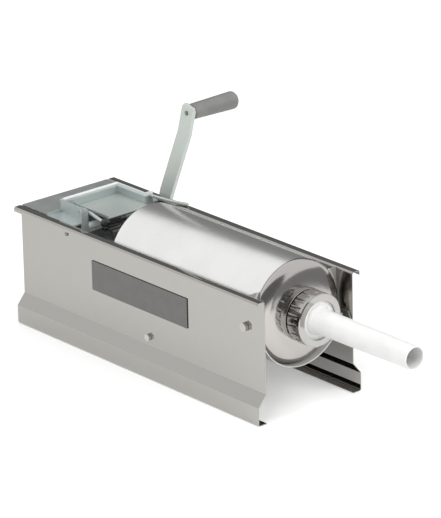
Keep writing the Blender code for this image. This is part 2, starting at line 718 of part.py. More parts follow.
def make_gear_frame(build):
    """U-shaped carrier: two cheeks and a web with a rolled edge, with flanges and lipped feet."""
    cheek = FRAME_OUT - FRAME_SHEET / 2.0
    rear = FRAME_REAR + FRAME_SHEET / 2.0
    front = FRAME_FRONT - FRAME_SHEET / 2.0
    tip = FRAME_OUT + FRAME_FLANGE
    corners = [(front, -tip), (front, -cheek), (rear, -cheek), (rear, cheek), (front, cheek), (front, tip)]
    path = rounded_path(corners, BEND_RADIUS)
    mesh = folded_sheet("gear_frame", path, FRAME_BOTTOM, FRAME_TOP, lambda x, y, z: (x, y, z))
    frame = build.place("gear_frame", mesh, Matrix(), "base", "zinc_plate")
    thicken(frame, FRAME_SHEET)
    roll = rod("frame_roll", FRAME_ROLL / 2.0, -cheek, cheek, ROLL_STEPS)
    build.join(frame, roll, Matrix.Translation((rear, 0.0, FRAME_TOP - FRAME_ROLL / 3.0)) @ ALONG_Y)
    foot_rear = FRAME_REAR + FOOT_INSET
    foot_top = RIM_HEIGHT - FOOT_DROP
    for side in (-1, 1):
        inner, outer = sorted((side * cheek, side * (WALL_IN - GAP)))
        foot = block(
            "frame_foot",
            (foot_rear, inner, foot_top - FRAME_SHEET),
            (FRAME_FRONT - 2.0 * FRAME_SHEET, outer, foot_top),
        )
        build.join(frame, foot, Matrix())
        lip = block(
            "foot_lip",
            (foot_rear, inner, foot_top - FRAME_SHEET / 2.0),
            (foot_rear + FRAME_SHEET, outer, foot_top + FOOT_LIP),
        )
        build.join(frame, lip, Matrix())
        bush_seat = SHAFT_RADIUS + GAP + BUSH_WALL + GAP
        low, high = sorted((side * (FRAME_IN - CUT_MARGIN), side * (FRAME_OUT + CUT_MARGIN)))
        seat = rod("bush_seat", bush_seat, low, high)
        build.cut(frame, seat, Matrix.Translation((SHAFT_X, 0.0, SHAFT_Z)) @ ALONG_Y)
        guide_hole = rod("guide_hole", BOLT_DIAMETER / 2.0 + GAP, low, high)
        guide_z = GUIDE_FLOOR - GUIDE_DEPTH / 2.0
        build.cut(frame, guide_hole, Matrix.Translation((SHAFT_X, 0.0, guide_z)) @ ALONG_Y)
    pin_low, pin_high = -(FRAME_OUT + CUT_MARGIN), -(FRAME_IN - CUT_MARGIN)
    pin_hole = rod("lever_pin_hole", LEVER_PIN_DIAMETER / 2.0 + GAP, pin_low, pin_high)
    build.cut(frame, pin_hole, Matrix.Translation((LEVER_PIVOT_X, 0.0, LEVER_PIVOT_Z)) @ ALONG_Y)
    margin = RACK_WINDOW_MARGIN
    window = block(
        "web_window",
        (FRAME_REAR - margin, -RACK_WIDTH / 2.0 - margin, RACK_BOTTOM - margin),
        (FRAME_REAR + FRAME_SHEET + margin, RACK_WIDTH / 2.0 + margin, RACK_TOP + margin),
    )
    build.cut(frame, window, Matrix())


def make_gear_cover(build):
    """Folded plate over the pinion, with a turned-up left edge."""
    middle = COVER_BOTTOM + COVER_SHEET / 2.0
    right = FRAME_IN - GAP
    corners = [(-COVER_LEFT_EDGE, middle + COVER_LIP), (-COVER_LEFT_EDGE, middle), (right, middle)]
    path = rounded_path(corners, COVER_BEND)
    low = FRAME_REAR + FRAME_SHEET + GAP
    high = FRAME_FRONT + COVER_OVERHANG
    mesh = folded_sheet("gear_cover", path, low, high, lambda y, z, x: (x, y, z))
    cover = build.place("gear_cover", mesh, Matrix(), "base", "zinc_plate")
    thicken(cover, COVER_SHEET)


def make_rack_guide(build):
    """Cross beam between the cheeks with a slot that carries the rack."""
    half = FRAME_IN - GAP
    slot = RACK_WIDTH / 2.0 + GAP
    cheek = slot + GUIDE_CHEEK
    low = GUIDE_FLOOR - GUIDE_DEPTH
    shelf = GUIDE_FLOOR - GUIDE_SHELF_DROP
    rise = GUIDE_FLOOR + GUIDE_CHEEK_RISE
    right = [(half, low), (half, shelf), (cheek, shelf), (cheek, rise), (slot, rise), (slot, GUIDE_FLOOR)]
    outline = right + [(-y, z) for y, z in reversed(right)]
    mesh = outline_solid("rack_guide", [outline], GUIDE_LENGTH)
    under_shaft = Matrix.Translation((SHAFT_X, 0.0, 0.0)) @ IN_YZ
    guide = build.place("rack_guide", mesh, under_shaft, "base", "white_plastic")
    depth = GUIDE_BOLT_REACH + 2.0 * GAP
    for side in (-1, 1):
        low_end, high_end = sorted((side * (half - depth), side * (half + depth)))
        hole = rod("guide_thread", BOLT_DIAMETER / 2.0 + GAP, low_end, high_end)
        place = Matrix.Translation((SHAFT_X, 0.0, GUIDE_FLOOR - GUIDE_DEPTH / 2.0)) @ ALONG_Y
        build.cut(guide, hole, place)


def make_bushes(build):
    bore = SHAFT_RADIUS + GAP
    sleeve = bore + BUSH_WALL
    flange = sleeve + BUSH_FLANGE_WIDTH
    inner_end = FRAME_IN - GAP
    seat = FRAME_OUT + GAP
    profile = [
        (flange, seat + BUSH_FLANGE),
        (flange, seat),
        (sleeve, seat),
        (sleeve, inner_end),
        (bore, inner_end),
        (bore, seat + BUSH_FLANGE),
    ]
    for name, side in (("left_bush", -1), ("right_bush", 1)):
        mesh = turned(name, profile, SMALL_ROUND_STEPS)
        turn = Matrix.Rotation(-side * math.pi / 2.0, 4, "X")
        build.place(name, mesh, Matrix.Translation((SHAFT_X, 0.0, SHAFT_Z)) @ turn, "base", "bronze")


def make_frame_brace(build):
    """Bent rod from the crank-side flange of the gear frame out over the rim."""
    radius = ROD_DIAMETER / 2.0
    start = Vector((FRAME_FRONT + GAP, FRAME_OUT + BRACE_ROOT, FRAME_TOP - ROD_DIAMETER))
    rest_z = RIM_HEIGHT + GAP + radius
    end = Vector((FRAME_FRONT + BRACE_REACH, WALL_OUT + BRACE_END, rest_z))
    knee = Vector((FRAME_FRONT + BRACE_BEND, WALL_IN - radius, rest_z))
    lead = start + Vector((BRACE_LEAD, 0.0, 0.0))
    points = [start, lead]
    for step in range(1, BRACE_STEPS):
        share = step / BRACE_STEPS
        points.append(lead.lerp(knee, share).lerp(knee.lerp(end, share), share))
    points.append(end)
    mesh = bent_rod("frame_brace", points, ROD_DIAMETER)
    build.place("frame_brace", mesh, Matrix(), "base", "zinc_plate")


def make_name_plate(build):
    """Bare plate on the left wall."""
    low_x, high_x = -PLATE_LENGTH / 2.0, PLATE_LENGTH / 2.0
    low_z = PLATE_CENTRE_HEIGHT - PLATE_HEIGHT / 2.0
    seat = -(WALL_OUT + GAP)
    mesh = block(
        "name_plate", (low_x, seat - PLATE_THICKNESS, low_z), (high_x, seat, low_z + PLATE_HEIGHT)
    )
    build.place("name_plate", mesh, Matrix(), "base", "satin_steel")


def dome_profile(outer, collar, start, depth, steps):
    """Points of a round-shouldered dome from the tube's radius in to the collar's."""
    points = []
    for step in range(steps + 1):
        angle = math.pi / 2.0 * step / steps
        power = 2.0 / DOME_FULLNESS
        inward = math.cos(angle) ** power if step < steps else 0.0
        forward = math.sin(angle) ** power
        points.append((collar + (outer - collar) * inward, start + depth * forward))
    return points


def make_cylinder(build):
    """Tube with a domed front, a collar and a neck, turned in one wall and open at the rear."""
    outer = dome_profile(CYL_RADIUS, COLLAR_RADIUS, SHOULDER_X, DOME_DEPTH, DOME_STEPS)
    inner_depth = DOME_DEPTH - CYLINDER_WALL
    inner = dome_profile(BORE_RADIUS, COLLAR_RADIUS, SHOULDER_X, inner_depth, DOME_STEPS)
    neck_bore = NECK_RADIUS - NECK_WALL
    profile = [(neck_bore, NECK_END), (NECK_RADIUS, NECK_END)]
    profile += [(NECK_RADIUS, COLLAR_END), (COLLAR_RADIUS, COLLAR_END)]
    profile += list(reversed(outer))
    profile += [(CYL_RADIUS, CYL_REAR), (BORE_RADIUS, CYL_REAR)]
    profile += inner
    profile.append((neck_bore, SHOULDER_X + inner_depth))
    mesh = turned("cylinder", profile)
    place = Matrix.Translation((0.0, 0.0, AXIS_HEIGHT)) @ ALONG_X
    build.place("cylinder", mesh, place, "cylinder", "satin_steel")


def make_ring_nut(build):
    """Ring with a lip that holds the nozzle's flange, scalloped behind a plain front band."""
    thread = NECK_RADIUS + GAP
    outer = thread + RING_NUT_WALL
    lip = thread - NOZZLE_SEAT_WIDTH
    chamfer = RING_NUT_CHAMFER
    profile = [
        (lip, NUT_FRONT),
        (outer - chamfer, NUT_FRONT),
        (outer, NUT_FRONT - chamfer),
        (outer, NUT_REAR + chamfer),
        (outer - chamfer, NUT_REAR),
        (thread, NUT_REAR),
        (thread, NUT_LIP_START),
        (lip, NUT_LIP_START),
    ]
    place = Matrix.Translation((0.0, 0.0, AXIS_HEIGHT)) @ ALONG_X
    nut = build.place("ring_nut", turned("ring_nut", profile), place, "ring_nut", "polished_steel")
    bm = bmesh.new()
    reach = outer + RING_NUT_SCALLOP_RADIUS - RING_NUT_SCALLOP_DEPTH
    low, high = NUT_REAR - CUT_MARGIN, NUT_FRONT - RING_NUT_BAND
    for number in range(RING_NUT_SCALLOPS):
        angle = 2.0 * math.pi * number / RING_NUT_SCALLOPS
        middle = Vector((reach * math.cos(angle), reach * math.sin(angle), (low + high) / 2.0))
        bmesh.ops.create_cone(
            bm,
            cap_ends=True,
            segments=RING_NUT_SCALLOP_STEPS,
            radius1=RING_NUT_SCALLOP_RADIUS,
            radius2=RING_NUT_SCALLOP_RADIUS,
            depth=high - low,
            matrix=Matrix.Translation(middle),
        )
    build.cut(nut, finish_mesh(bm, "scallops"), place)


def make_nozzle(build):
    """Tapered tube on a flange, with a short cone at its root."""
    flange = NECK_RADIUS
    tube = NOZZLE_DIAMETER / 2.0
    root = tube + NOZZLE_FILLET
    tip = NOZZLE_TIP_DIAMETER / 2.0
    cone_end = FLANGE_END + NOZZLE_CONE
    edge = NOZZLE_EDGE
    profile = [
        (tip - NOZZLE_WALL + edge, NOZZLE_TIP),
        (tip - edge, NOZZLE_TIP),
        (tip, NOZZLE_TIP - edge),
        (tube, cone_end),
        (root, FLANGE_END),
        (flange, FLANGE_END),
        (flange, FLANGE_START),
        (root - NOZZLE_WALL, FLANGE_START),
        (tube - NOZZLE_WALL, cone_end),
        (tip - NOZZLE_WALL, NOZZLE_TIP - edge),
    ]
    place = Matrix.Translation((0.0, 0.0, AXIS_HEIGHT)) @ ALONG_X
    build.place("nozzle", turned("nozzle", profile, TUBE_STEPS), place, "nozzle", "white_plastic")


def make_nozzle_gasket(build):
    outer, inner = NECK_RADIUS, NECK_RADIUS - NOZZLE_SEAT_WIDTH - NOZZLE_WALL
    low, high = GASKET_START, GASKET_START + GASKET_THICKNESS
    profile = [(inner, high), (outer, high), (outer, low), (inner, low)]
    place = Matrix.Translation((0.0, 0.0, AXIS_HEIGHT)) @ ALONG_X
    build.place("nozzle_gasket", turned("nozzle_gasket", profile, TUBE_STEPS), place, "nozzle", "seal_rubber")


def make_piston(build):
    place = Matrix.Translation((0.0, 0.0, AXIS_HEIGHT)) @ ALONG_X
    outer = BORE_RADIUS - PISTON_CLEARANCE
    middle = (PISTON_FRONT + PISTON_REAR) / 2.0
    groove = outer - SEAL_DEPTH
    groove_half = SEAL_WIDTH / 2.0 + GAP
    hole = PISTON_SCREW_DIAMETER / 2.0 + GAP
    head = PISTON_SCREW_HEAD / 2.0 + GAP
    head_floor = PISTON_FRONT - PISTON_SCREW_HEAD_HEIGHT - 2.0 * GAP
    edge = PISTON_EDGE
    profile = [
        (head, PISTON_FRONT),
        (outer - edge, PISTON_FRONT),
        (outer, PISTON_FRONT - edge),
        (outer, middle + groove_half),
        (groove, middle + groove_half),
        (groove, middle - groove_half),
        (outer, middle - groove_half),
        (outer, PISTON_REAR),
        (hole, PISTON_REAR),
        (hole, head_floor),
        (head, head_floor),
    ]
    build.place("piston", turned("piston", profile), place, "piston", "white_plastic")

    seal_out = BORE_RADIUS - GAP
    seal_in = groove + GAP
    half = SEAL_WIDTH / 2.0
    crown = PISTON_CLEARANCE
    seal = [
        (seal_in, middle + half),
        (seal_out - crown, middle + half),
        (seal_out, middle + SEAL_LAND / 2.0),
        (seal_out, middle - SEAL_LAND / 2.0),
        (seal_out - crown, middle - half),
        (seal_in, middle - half),
    ]
    build.place("piston_seal", turned("piston_seal", seal), place, "piston", "seal_rubber")

    plate_out = BACK_PLATE_DIAMETER / 2.0
    plate = [
        (hole, BACK_PLATE_FRONT),
        (plate_out, BACK_PLATE_FRONT),
        (plate_out, BACK_PLATE_REAR),
        (hole, BACK_PLATE_REAR),
    ]
    mesh = turned("piston_back_plate", plate, TUBE_STEPS)
    build.place("piston_back_plate", mesh, place, "piston", "zinc_plate")

    screw_front = PISTON_FRONT - GAP
    screw_seat = screw_front - PISTON_SCREW_HEAD_HEIGHT
    shank = PISTON_SCREW_DIAMETER / 2.0
    screw = [
        (0.0, screw_front),
        (PISTON_SCREW_HEAD / 2.0, screw_front),
        (PISTON_SCREW_HEAD / 2.0, screw_seat),
        (shank, screw_seat),
        (shank, RACK_FRONT - PISTON_SCREW_GRIP),
        (0.0, RACK_FRONT - PISTON_SCREW_GRIP),
    ]
    mesh = turned("piston_screw", screw, SMALL_ROUND_STEPS)
    build.place("piston_screw", mesh, place, "piston", "satin_steel")


def make_rack(build):
    """Square bar with teeth along its top, one gap standing right under the pinion."""
    pitch = math.pi * MODULE
    root = PITCH_LINE - MODULE - TIP_CLEARANCE
    slope = math.tan(PRESSURE_ANGLE)
    half = pitch / 4.0 - BACKLASH / 2.0
    first = math.ceil((RACK_REAR - SHAFT_X) / pitch) + 0.5
    outline = [(RACK_REAR, RACK_BOTTOM), (RACK_REAR, root)]
    number = first
    while SHAFT_X + (number + 0.5) * pitch < RACK_FRONT - pitch:
        middle = SHAFT_X + number * pitch
        low_half = half + (PITCH_LINE - root) * slope
        top_half = half - RACK_ADDENDUM * slope
        outline += [(middle - low_half, root), (middle - top_half, RACK_TOP)]
        outline += [(middle + top_half, RACK_TOP), (middle + low_half, root)]
        number += 1.0
    shoulder = SHAFT_X + (number - 0.5) * pitch + pitch / 4.0
    outline += [(shoulder, root), (shoulder, RACK_TOP), (RACK_FRONT, RACK_TOP), (RACK_FRONT, RACK_BOTTOM)]
    mesh = outline_solid("rack", [outline], RACK_WIDTH)
    rack = build.place("rack", mesh, IN_XZ, "piston", "satin_steel")
    depth = PISTON_SCREW_GRIP + 2.0 * GAP
    hole = rod("rack_thread", PISTON_SCREW_DIAMETER / 2.0 + GAP, RACK_FRONT - depth, RACK_FRONT + depth)
    build.cut(rack, hole, Matrix.Translation((0.0, 0.0, AXIS_HEIGHT)) @ ALONG_X)


def pinion_outline():
    """Involute teeth with radial roots, one tooth pointing straight down into the rack."""
    base = PITCH_RADIUS * math.cos(PRESSURE_ANGLE)
    involute_at_pitch = math.tan(PRESSURE_ANGLE) - PRESSURE_ANGLE
    half_at_pitch = math.pi / (2.0 * PINION_TEETH) - BACKLASH / (2.0 * PITCH_RADIUS)
    radii = [base + (TIP_RADIUS - base) * step / FLANK_STEPS for step in range(FLANK_STEPS + 1)]
    flank = []
    for radius in radii:
        slant = math.acos(min(1.0, base / radius))
        flank.append((radius, half_at_pitch + involute_at_pitch - (math.tan(slant) - slant)))
    if ROOT_RADIUS < base:
        flank.insert(0, (ROOT_RADIUS, flank[0][1]))
    outline = []
    for tooth in range(PINION_TEETH):
        centre = -math.pi / 2.0 + 2.0 * math.pi * tooth / PINION_TEETH
        sides = [(radius, centre - half) for radius, half in flank]
        sides += [(radius, centre + half) for radius, half in reversed(flank)]
        outline += [(radius * math.cos(angle), radius * math.sin(angle)) for radius, angle in sides]
    return outline


def circle(radius, steps):
    return arc_points((0.0, 0.0), radius, 0.0, 2.0 * math.pi * (steps - 1) / steps, steps - 1)


def make_pinion(build):
    bore = SHAFT_RADIUS + GAP
    place = Matrix.Translation((SHAFT_X, 0.0, SHAFT_Z)) @ IN_XZ
    mesh = outline_solid("pinion", [pinion_outline(), circle(bore, SMALL_ROUND_STEPS)], PINION_WIDTH)
    pinion = build.place("pinion", mesh, place, "crank", "dark_steel")
    overlap = PINION_WIDTH / 4.0
    hub_length = PINION_HUB_LENGTH + overlap
    hub_loops = [circle(ROOT_RADIUS - GAP, SMALL_ROUND_STEPS), circle(bore, SMALL_ROUND_STEPS)]
    hub = outline_solid("pinion_hub", hub_loops, hub_length)
    hub_middle = PINION_WIDTH / 2.0 - overlap + hub_length / 2.0
    build.join(pinion, hub, Matrix.Translation((SHAFT_X, hub_middle, SHAFT_Z)) @ IN_XZ)
    pin_y = PINION_WIDTH / 2.0 + PINION_HUB_LENGTH / 2.0
    hole = rod("pinion_pin_hole", PIN_DIAMETER / 2.0 + GAP, -TIP_RADIUS, TIP_RADIUS)
    build.cut(pinion, hole, Matrix.Translation((SHAFT_X, pin_y, SHAFT_Z)))

    length = ROOT_RADIUS - 2.0 * GAP
    pin = rod("pinion_pin", PIN_DIAMETER / 2.0, -length, length)
    build.place("pinion_pin", pin, Matrix.Translation((SHAFT_X, pin_y, SHAFT_Z)), "crank", "satin_steel")


def make_crank_shaft(build):
    """Round shaft with a square seat for the arm and a threaded end."""
    left_end = -(WALL_IN - 2.0 * GAP)
    square_end = ARM_OUT - 2.0 * GAP
    thread_end = ARM_OUT + GAP + CRANK_NUT_HEIGHT + BODY_SHEET
    thread = SHAFT_THREAD_DIAMETER / 2.0
    round_end = ARM_IN - GAP
    profile = [
        (0.0, thread_end),
        (thread, thread_end),
        (thread, round_end),
        (SHAFT_RADIUS, round_end),
        (SHAFT_RADIUS, left_end),
        (0.0, left_end),
    ]
    axis = Matrix.Translation((SHAFT_X, 0.0, SHAFT_Z)) @ ALONG_Y
    mesh = turned("crank_shaft", profile, SMALL_ROUND_STEPS)
    shaft = build.place("crank_shaft", mesh, axis, "crank", "zinc_plate")
    half = SHAFT_SQUARE / 2.0
    square = block("shaft_square", (-half, round_end - ARM_THICKNESS / 2.0, -half), (half, square_end, half))
    tilt = Matrix.Translation((SHAFT_X, 0.0, SHAFT_Z)) @ Matrix.Rotation(CRANK_REST_ANGLE, 4, "Y")
    build.join(shaft, square, tilt)
    pin_y = PINION_WIDTH / 2.0 + PINION_HUB_LENGTH / 2.0
    pin_hole = rod("shaft_pin_hole", PIN_DIAMETER / 2.0 + GAP, -TIP_RADIUS, TIP_RADIUS)
    build.cut(shaft, pin_hole, Matrix.Translation((SHAFT_X, pin_y, SHAFT_Z)))
    depth = RETAINER_REACH + 2.0 * GAP
    screw_hole = rod("retainer_hole", RETAINER_SCREW / 2.0 + GAP, left_end - depth, left_end + depth)
    build.cut(shaft, screw_hole, axis)

    head = RETAINER_DIAMETER / 2.0
    seat = WALL_OUT + GAP
    crown = seat + RETAINER_HEIGHT
    screw = RETAINER_SCREW / 2.0
    inner_end = -left_end - RETAINER_REACH
    retainer = [
        (0.0, crown),
        (head - RETAINER_HEIGHT, crown - RETAINER_CROWN),
        (head - RETAINER_CROWN, crown - RETAINER_HEIGHT / 2.0),
        (head, seat),
        (screw, seat),
        (screw, inner_end),
        (0.0, inner_end),
    ]
    mesh = turned("shaft_retainer", retainer, SMALL_ROUND_STEPS)
    outward = Matrix.Rotation(math.pi / 2.0, 4, "X")
    on_wall = Matrix.Translation((SHAFT_X, 0.0, SHAFT_Z)) @ outward
    build.place("shaft_retainer", mesh, on_wall, "crank", "dark_steel")


def arm_tilt():
    """Turns the upright arm to its rest angle about the shaft."""
    return Matrix.Translation((SHAFT_X, 0.0, SHAFT_Z)) @ Matrix.Rotation(CRANK_REST_ANGLE, 4, "Y")


def make_crank_arm(build):
    """Flat bar, round at the shaft and square at the top, stepped outwards above the rim."""
    half = ARM_WIDTH / 2.0
    middle = (ARM_IN + ARM_OUT) / 2.0
    top = CRANK_RADIUS + ARM_TOP_MARGIN
    turns = [math.pi / 2.0 * step / ARM_END_STEPS for step in range(1, ARM_END_STEPS + 1)]
    stations = [-half * math.cos(turn) for turn in turns]
    stations += [ARM_LOWER_BEND, ARM_UPPER_BEND, top - ARM_CORNER, top]
    bm = bmesh.new()
    rows = []
    for station in stations:
        share = (station - ARM_LOWER_BEND) / (ARM_UPPER_BEND - ARM_LOWER_BEND)
        across = middle + ARM_JOGGLE * min(1.0, max(0.0, share))
        width = half
        if station < 0.0:
            width = math.sqrt(half * half - station * station)
        if station >= top:
            width = half - ARM_CORNER_WIDTH
        rows.append([bm.verts.new((sign * width, across, station)) for sign in (-1, 1)])
    for lower, upper in zip(rows, rows[1:]):
        bm.faces.new((lower[0], lower[1], upper[1], upper[0]))
    mesh = finish_mesh(bm, "crank_arm")
    arm = build.place("crank_arm", mesh, arm_tilt(), "crank", "zinc_plate")
    thicken(arm, ARM_THICKNESS)
    seat = SHAFT_SQUARE / 2.0 + GAP
    square = block("arm_square", (-seat, ARM_IN - half, -seat), (seat, ARM_OUT + half / 2.0, seat))
    build.cut(arm, square, arm_tilt())
    hole = rod("axle_hole", AXLE_TENON_DIAMETER / 2.0 + GAP, ARM_TOP_IN - half, ARM_TOP_OUT + half)
    build.cut(arm, hole, arm_tilt() @ Matrix.Translation((0.0, 0.0, CRANK_RADIUS)) @ ALONG_Y)


def make_crank_nut(build):
    seat = ARM_OUT + GAP
    bore = SHAFT_THREAD_DIAMETER / 2.0 + GAP
    head = CRANK_NUT_HEAD / 2.0 / math.cos(math.pi / 6.0)
    loops = [circle(head, HEXAGON), circle(bore, SMALL_ROUND_STEPS)]
    mesh = outline_solid("crank_nut", loops, CRANK_NUT_HEIGHT)
    place = Matrix.Translation((SHAFT_X, seat + CRANK_NUT_HEIGHT / 2.0, SHAFT_Z)) @ IN_XZ
    build.place("crank_nut", mesh, place, "crank", "zinc_plate")


def make_grip(build):
    """Turned handle with a domed end, its axle with a riveted head, and a washer."""
    axis = arm_tilt() @ Matrix.Translation((0.0, 0.0, CRANK_RADIUS)) @ ALONG_Y
    axle = GRIP_AXLE_DIAMETER / 2.0
    tenon = AXLE_TENON_DIAMETER / 2.0
    head_seat = ARM_TOP_IN - GAP
    shoulder = ARM_TOP_OUT + GAP
    axle_end = GRIP_START + GRIP_BORE_DEPTH - 2.0 * GAP
    axle_profile = [
        (0.0, axle_end),
        (axle, axle_end),
        (axle, shoulder),
        (tenon, shoulder),
        (tenon, head_seat),
        (RIVET_HEAD / 2.0, head_seat),
        (RIVET_HEAD / 2.0 - RIVET_EDGE, head_seat - AXLE_DOME),
        (0.0, head_seat - RIVET_HEIGHT),
    ]
    mesh = turned("grip_axle", axle_profile, SMALL_ROUND_STEPS)
    build.place("grip_axle", mesh, axis, "crank", "dark_steel")

    washer_low = shoulder
    washer_high = washer_low + GRIP_WASHER
    washer_out = GRIP_WASHER_DIAMETER / 2.0
    washer = [
        (axle + GAP, washer_high),
        (washer_out, washer_high),
        (washer_out, washer_low),
        (axle + GAP, washer_low),
    ]
    mesh = turned("grip_washer", washer, SMALL_ROUND_STEPS)
    build.place("grip_washer", mesh, axis, "crank", "zinc_plate")

    bore = axle + GAP
    neck = GRIP_NECK_DIAMETER / 2.0
    full = GRIP_DIAMETER / 2.0
    dome_start = GRIP_END - GRIP_DOME
    bore_end = GRIP_START + GRIP_BORE_DEPTH
    profile = [(0.0, GRIP_END)]
    for step in range(1, GRIP_DOME_STEPS + 1):
        angle = math.pi / 2.0 * step / GRIP_DOME_STEPS
        profile.append((full * math.sin(angle), dome_start + (GRIP_END - dome_start) * math.cos(angle)))
    edge = GRIP_WASHER
    profile += [(neck, GRIP_START + edge), (neck - edge, GRIP_START), (bore, GRIP_START)]
    profile += [(bore, bore_end), (0.0, bore_end)]
    mesh = turned("grip", profile, GRIP_STEPS)
    build.place("grip", mesh, axis, "grip", "grey_plastic")


def make_catch_lever(build):
    """Bent rod beside the left cheek, with a pivot pin and a round knob."""
    radius = ROD_DIAMETER / 2.0
    knob_x = LEVER_PIVOT_X + LEVER_LENGTH
    knob_z = LEVER_PIVOT_Z - LEVER_DROP
    bend_x = FRAME_FRONT - LEVER_BEND_SETBACK
    bend_z = LEVER_PIVOT_Z + LEVER_BEND_RISE
    points = [
        (LEVER_PIVOT_X - radius * 2.0, LEVER_Y, LEVER_PIVOT_Z),
        (LEVER_PIVOT_X, LEVER_Y, LEVER_PIVOT_Z),
        (bend_x, LEVER_Y, bend_z),
        (knob_x - KNOB_SOCKET_SETBACK, LEVER_Y, knob_z),
    ]
    mesh = bent_rod("catch_lever", points, ROD_DIAMETER)
    lever = build.place("catch_lever", mesh, Matrix(), "catch", "zinc_plate")
    pin = LEVER_PIN_DIAMETER / 2.0
    boss = rod("lever_boss", LEVER_PIN_DIAMETER, -radius, radius)
    at_pivot = Matrix.Translation((LEVER_PIVOT_X, LEVER_Y, LEVER_PIVOT_Z)) @ ALONG_Y
    build.join(lever, boss, at_pivot)
    build.cut(lever, rod("lever_bore", pin + GAP, -KNOB_DIAMETER, KNOB_DIAMETER), at_pivot)

    bm = bmesh.new()
    bmesh.ops.create_uvsphere(bm, u_segments=16, v_segments=10, radius=KNOB_DIAMETER / 2.0)
    ball = finish_mesh(bm, "catch_knob")
    shade_round(ball)
    at_knob = Matrix.Translation((knob_x, LEVER_Y, knob_z))
    knob = build.place("catch_knob", ball, at_knob, "catch", "black_plastic")
    way = Vector((points[-1][0] - bend_x, 0.0, knob_z - bend_z))
    aim = Vector((0.0, 0.0, 1.0)).rotation_difference(way).to_matrix().to_4x4()
    socket = rod("knob_socket", radius + GAP, -KNOB_DIAMETER, GAP)
    build.cut(knob, socket, Matrix.Translation(points[-1]) @ aim)

    seat = FRAME_OUT + GAP
    inner = -LEVER_Y - radius - GAP
    pin_profile = [
        (0.0, seat + LEVER_PIN_HEIGHT),
        (LEVER_PIN_HEAD / 2.0 - LEVER_PIN_EDGE, seat + LEVER_PIN_HEIGHT),
        (LEVER_PIN_HEAD / 2.0, seat),
        (pin, seat),
        (pin, inner),
        (0.0, inner),
    ]
    mesh = turned("lever_pin", pin_profile, SMALL_ROUND_STEPS)
    outward = Matrix.Rotation(math.pi / 2.0, 4, "X")
    place = Matrix.Translation((LEVER_PIVOT_X, 0.0, LEVER_PIVOT_Z)) @ outward
    build.place("lever_pin", mesh, place, "base", "satin_steel")


def main():
    build = Builder()
    grip_centre = arm_tilt() @ Vector((0.0, GRIP_START, CRANK_RADIUS))
    build.add_body("crank", Vector((SHAFT_X, 0.0, SHAFT_Z)))
    build.add_body("grip", grip_centre)
    build.add_body("piston", Vector((PISTON_FRONT, 0.0, AXIS_HEIGHT)))
    build.add_body("cylinder", Vector((CYL_REAR, 0.0, AXIS_HEIGHT)))
    build.add_body("nozzle", Vector((NUT_FRONT, 0.0, AXIS_HEIGHT)))
    build.add_body("ring_nut", Vector((NUT_FRONT, 0.0, AXIS_HEIGHT)))
    build.add_body("catch", Vector((LEVER_PIVOT_X, LEVER_Y, LEVER_PIVOT_Z)))

    make_side_panel(build, "left_side_panel", -1)
    make_side_panel(build, "right_side_panel", 1)
    make_rear_panel(build)
    make_front_cradle(build)
    make_tie_rod(build)
    make_fasteners(build)
    make_gear_frame(build)
    make_gear_cover(build)
    make_rack_guide(build)
    make_bushes(build)
    make_frame_brace(build)
    make_name_plate(build)
    make_catch_lever(build)
    make_cylinder(build)
    make_ring_nut(build)
    make_nozzle(build)
    make_nozzle_gasket(build)
    make_piston(build)
    make_rack(build)
    make_pinion(build)
    make_crank_shaft(build)
    make_crank_arm(build)
    make_crank_nut(build)
    make_grip(build)


main()
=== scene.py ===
"""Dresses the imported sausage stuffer: finishes, a plain stage and the photograph's camera."""

from __future__ import annotations

import json
import logging
import math
from dataclasses import dataclass, field
from enum import Enum
from typing import Any, Sequence, Union

import bmesh
import bpy
from mathutils import Matrix, Vector

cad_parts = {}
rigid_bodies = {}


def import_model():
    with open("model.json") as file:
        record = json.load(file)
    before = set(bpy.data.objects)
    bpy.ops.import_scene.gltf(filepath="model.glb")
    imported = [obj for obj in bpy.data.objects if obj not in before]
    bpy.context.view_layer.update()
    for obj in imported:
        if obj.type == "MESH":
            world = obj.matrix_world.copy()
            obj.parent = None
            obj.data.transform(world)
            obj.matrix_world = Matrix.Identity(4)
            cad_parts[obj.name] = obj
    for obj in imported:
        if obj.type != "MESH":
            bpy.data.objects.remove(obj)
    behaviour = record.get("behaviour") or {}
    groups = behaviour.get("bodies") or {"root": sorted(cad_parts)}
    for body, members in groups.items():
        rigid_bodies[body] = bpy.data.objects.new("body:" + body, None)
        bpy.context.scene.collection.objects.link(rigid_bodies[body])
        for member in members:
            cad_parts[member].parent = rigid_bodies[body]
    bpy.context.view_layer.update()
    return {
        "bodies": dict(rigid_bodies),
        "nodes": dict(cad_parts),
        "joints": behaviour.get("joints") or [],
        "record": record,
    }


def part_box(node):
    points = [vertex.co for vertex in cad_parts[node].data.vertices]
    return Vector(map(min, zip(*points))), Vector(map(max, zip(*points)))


LOG = logging.getLogger("sausage_stuffer")

Colour = tuple[float, float, float]
Point = tuple[float, float, float]
Span = tuple[float, float]
Number = Union[int, float]

EVEN: Point = (1.0, 1.0, 1.0)
GRAIN_DETAIL = 4.0
SMUDGE_DETAIL = 5.0
MARK_SPAN: Span = (0.3, 0.7)
METAL_BUMP = 0.35


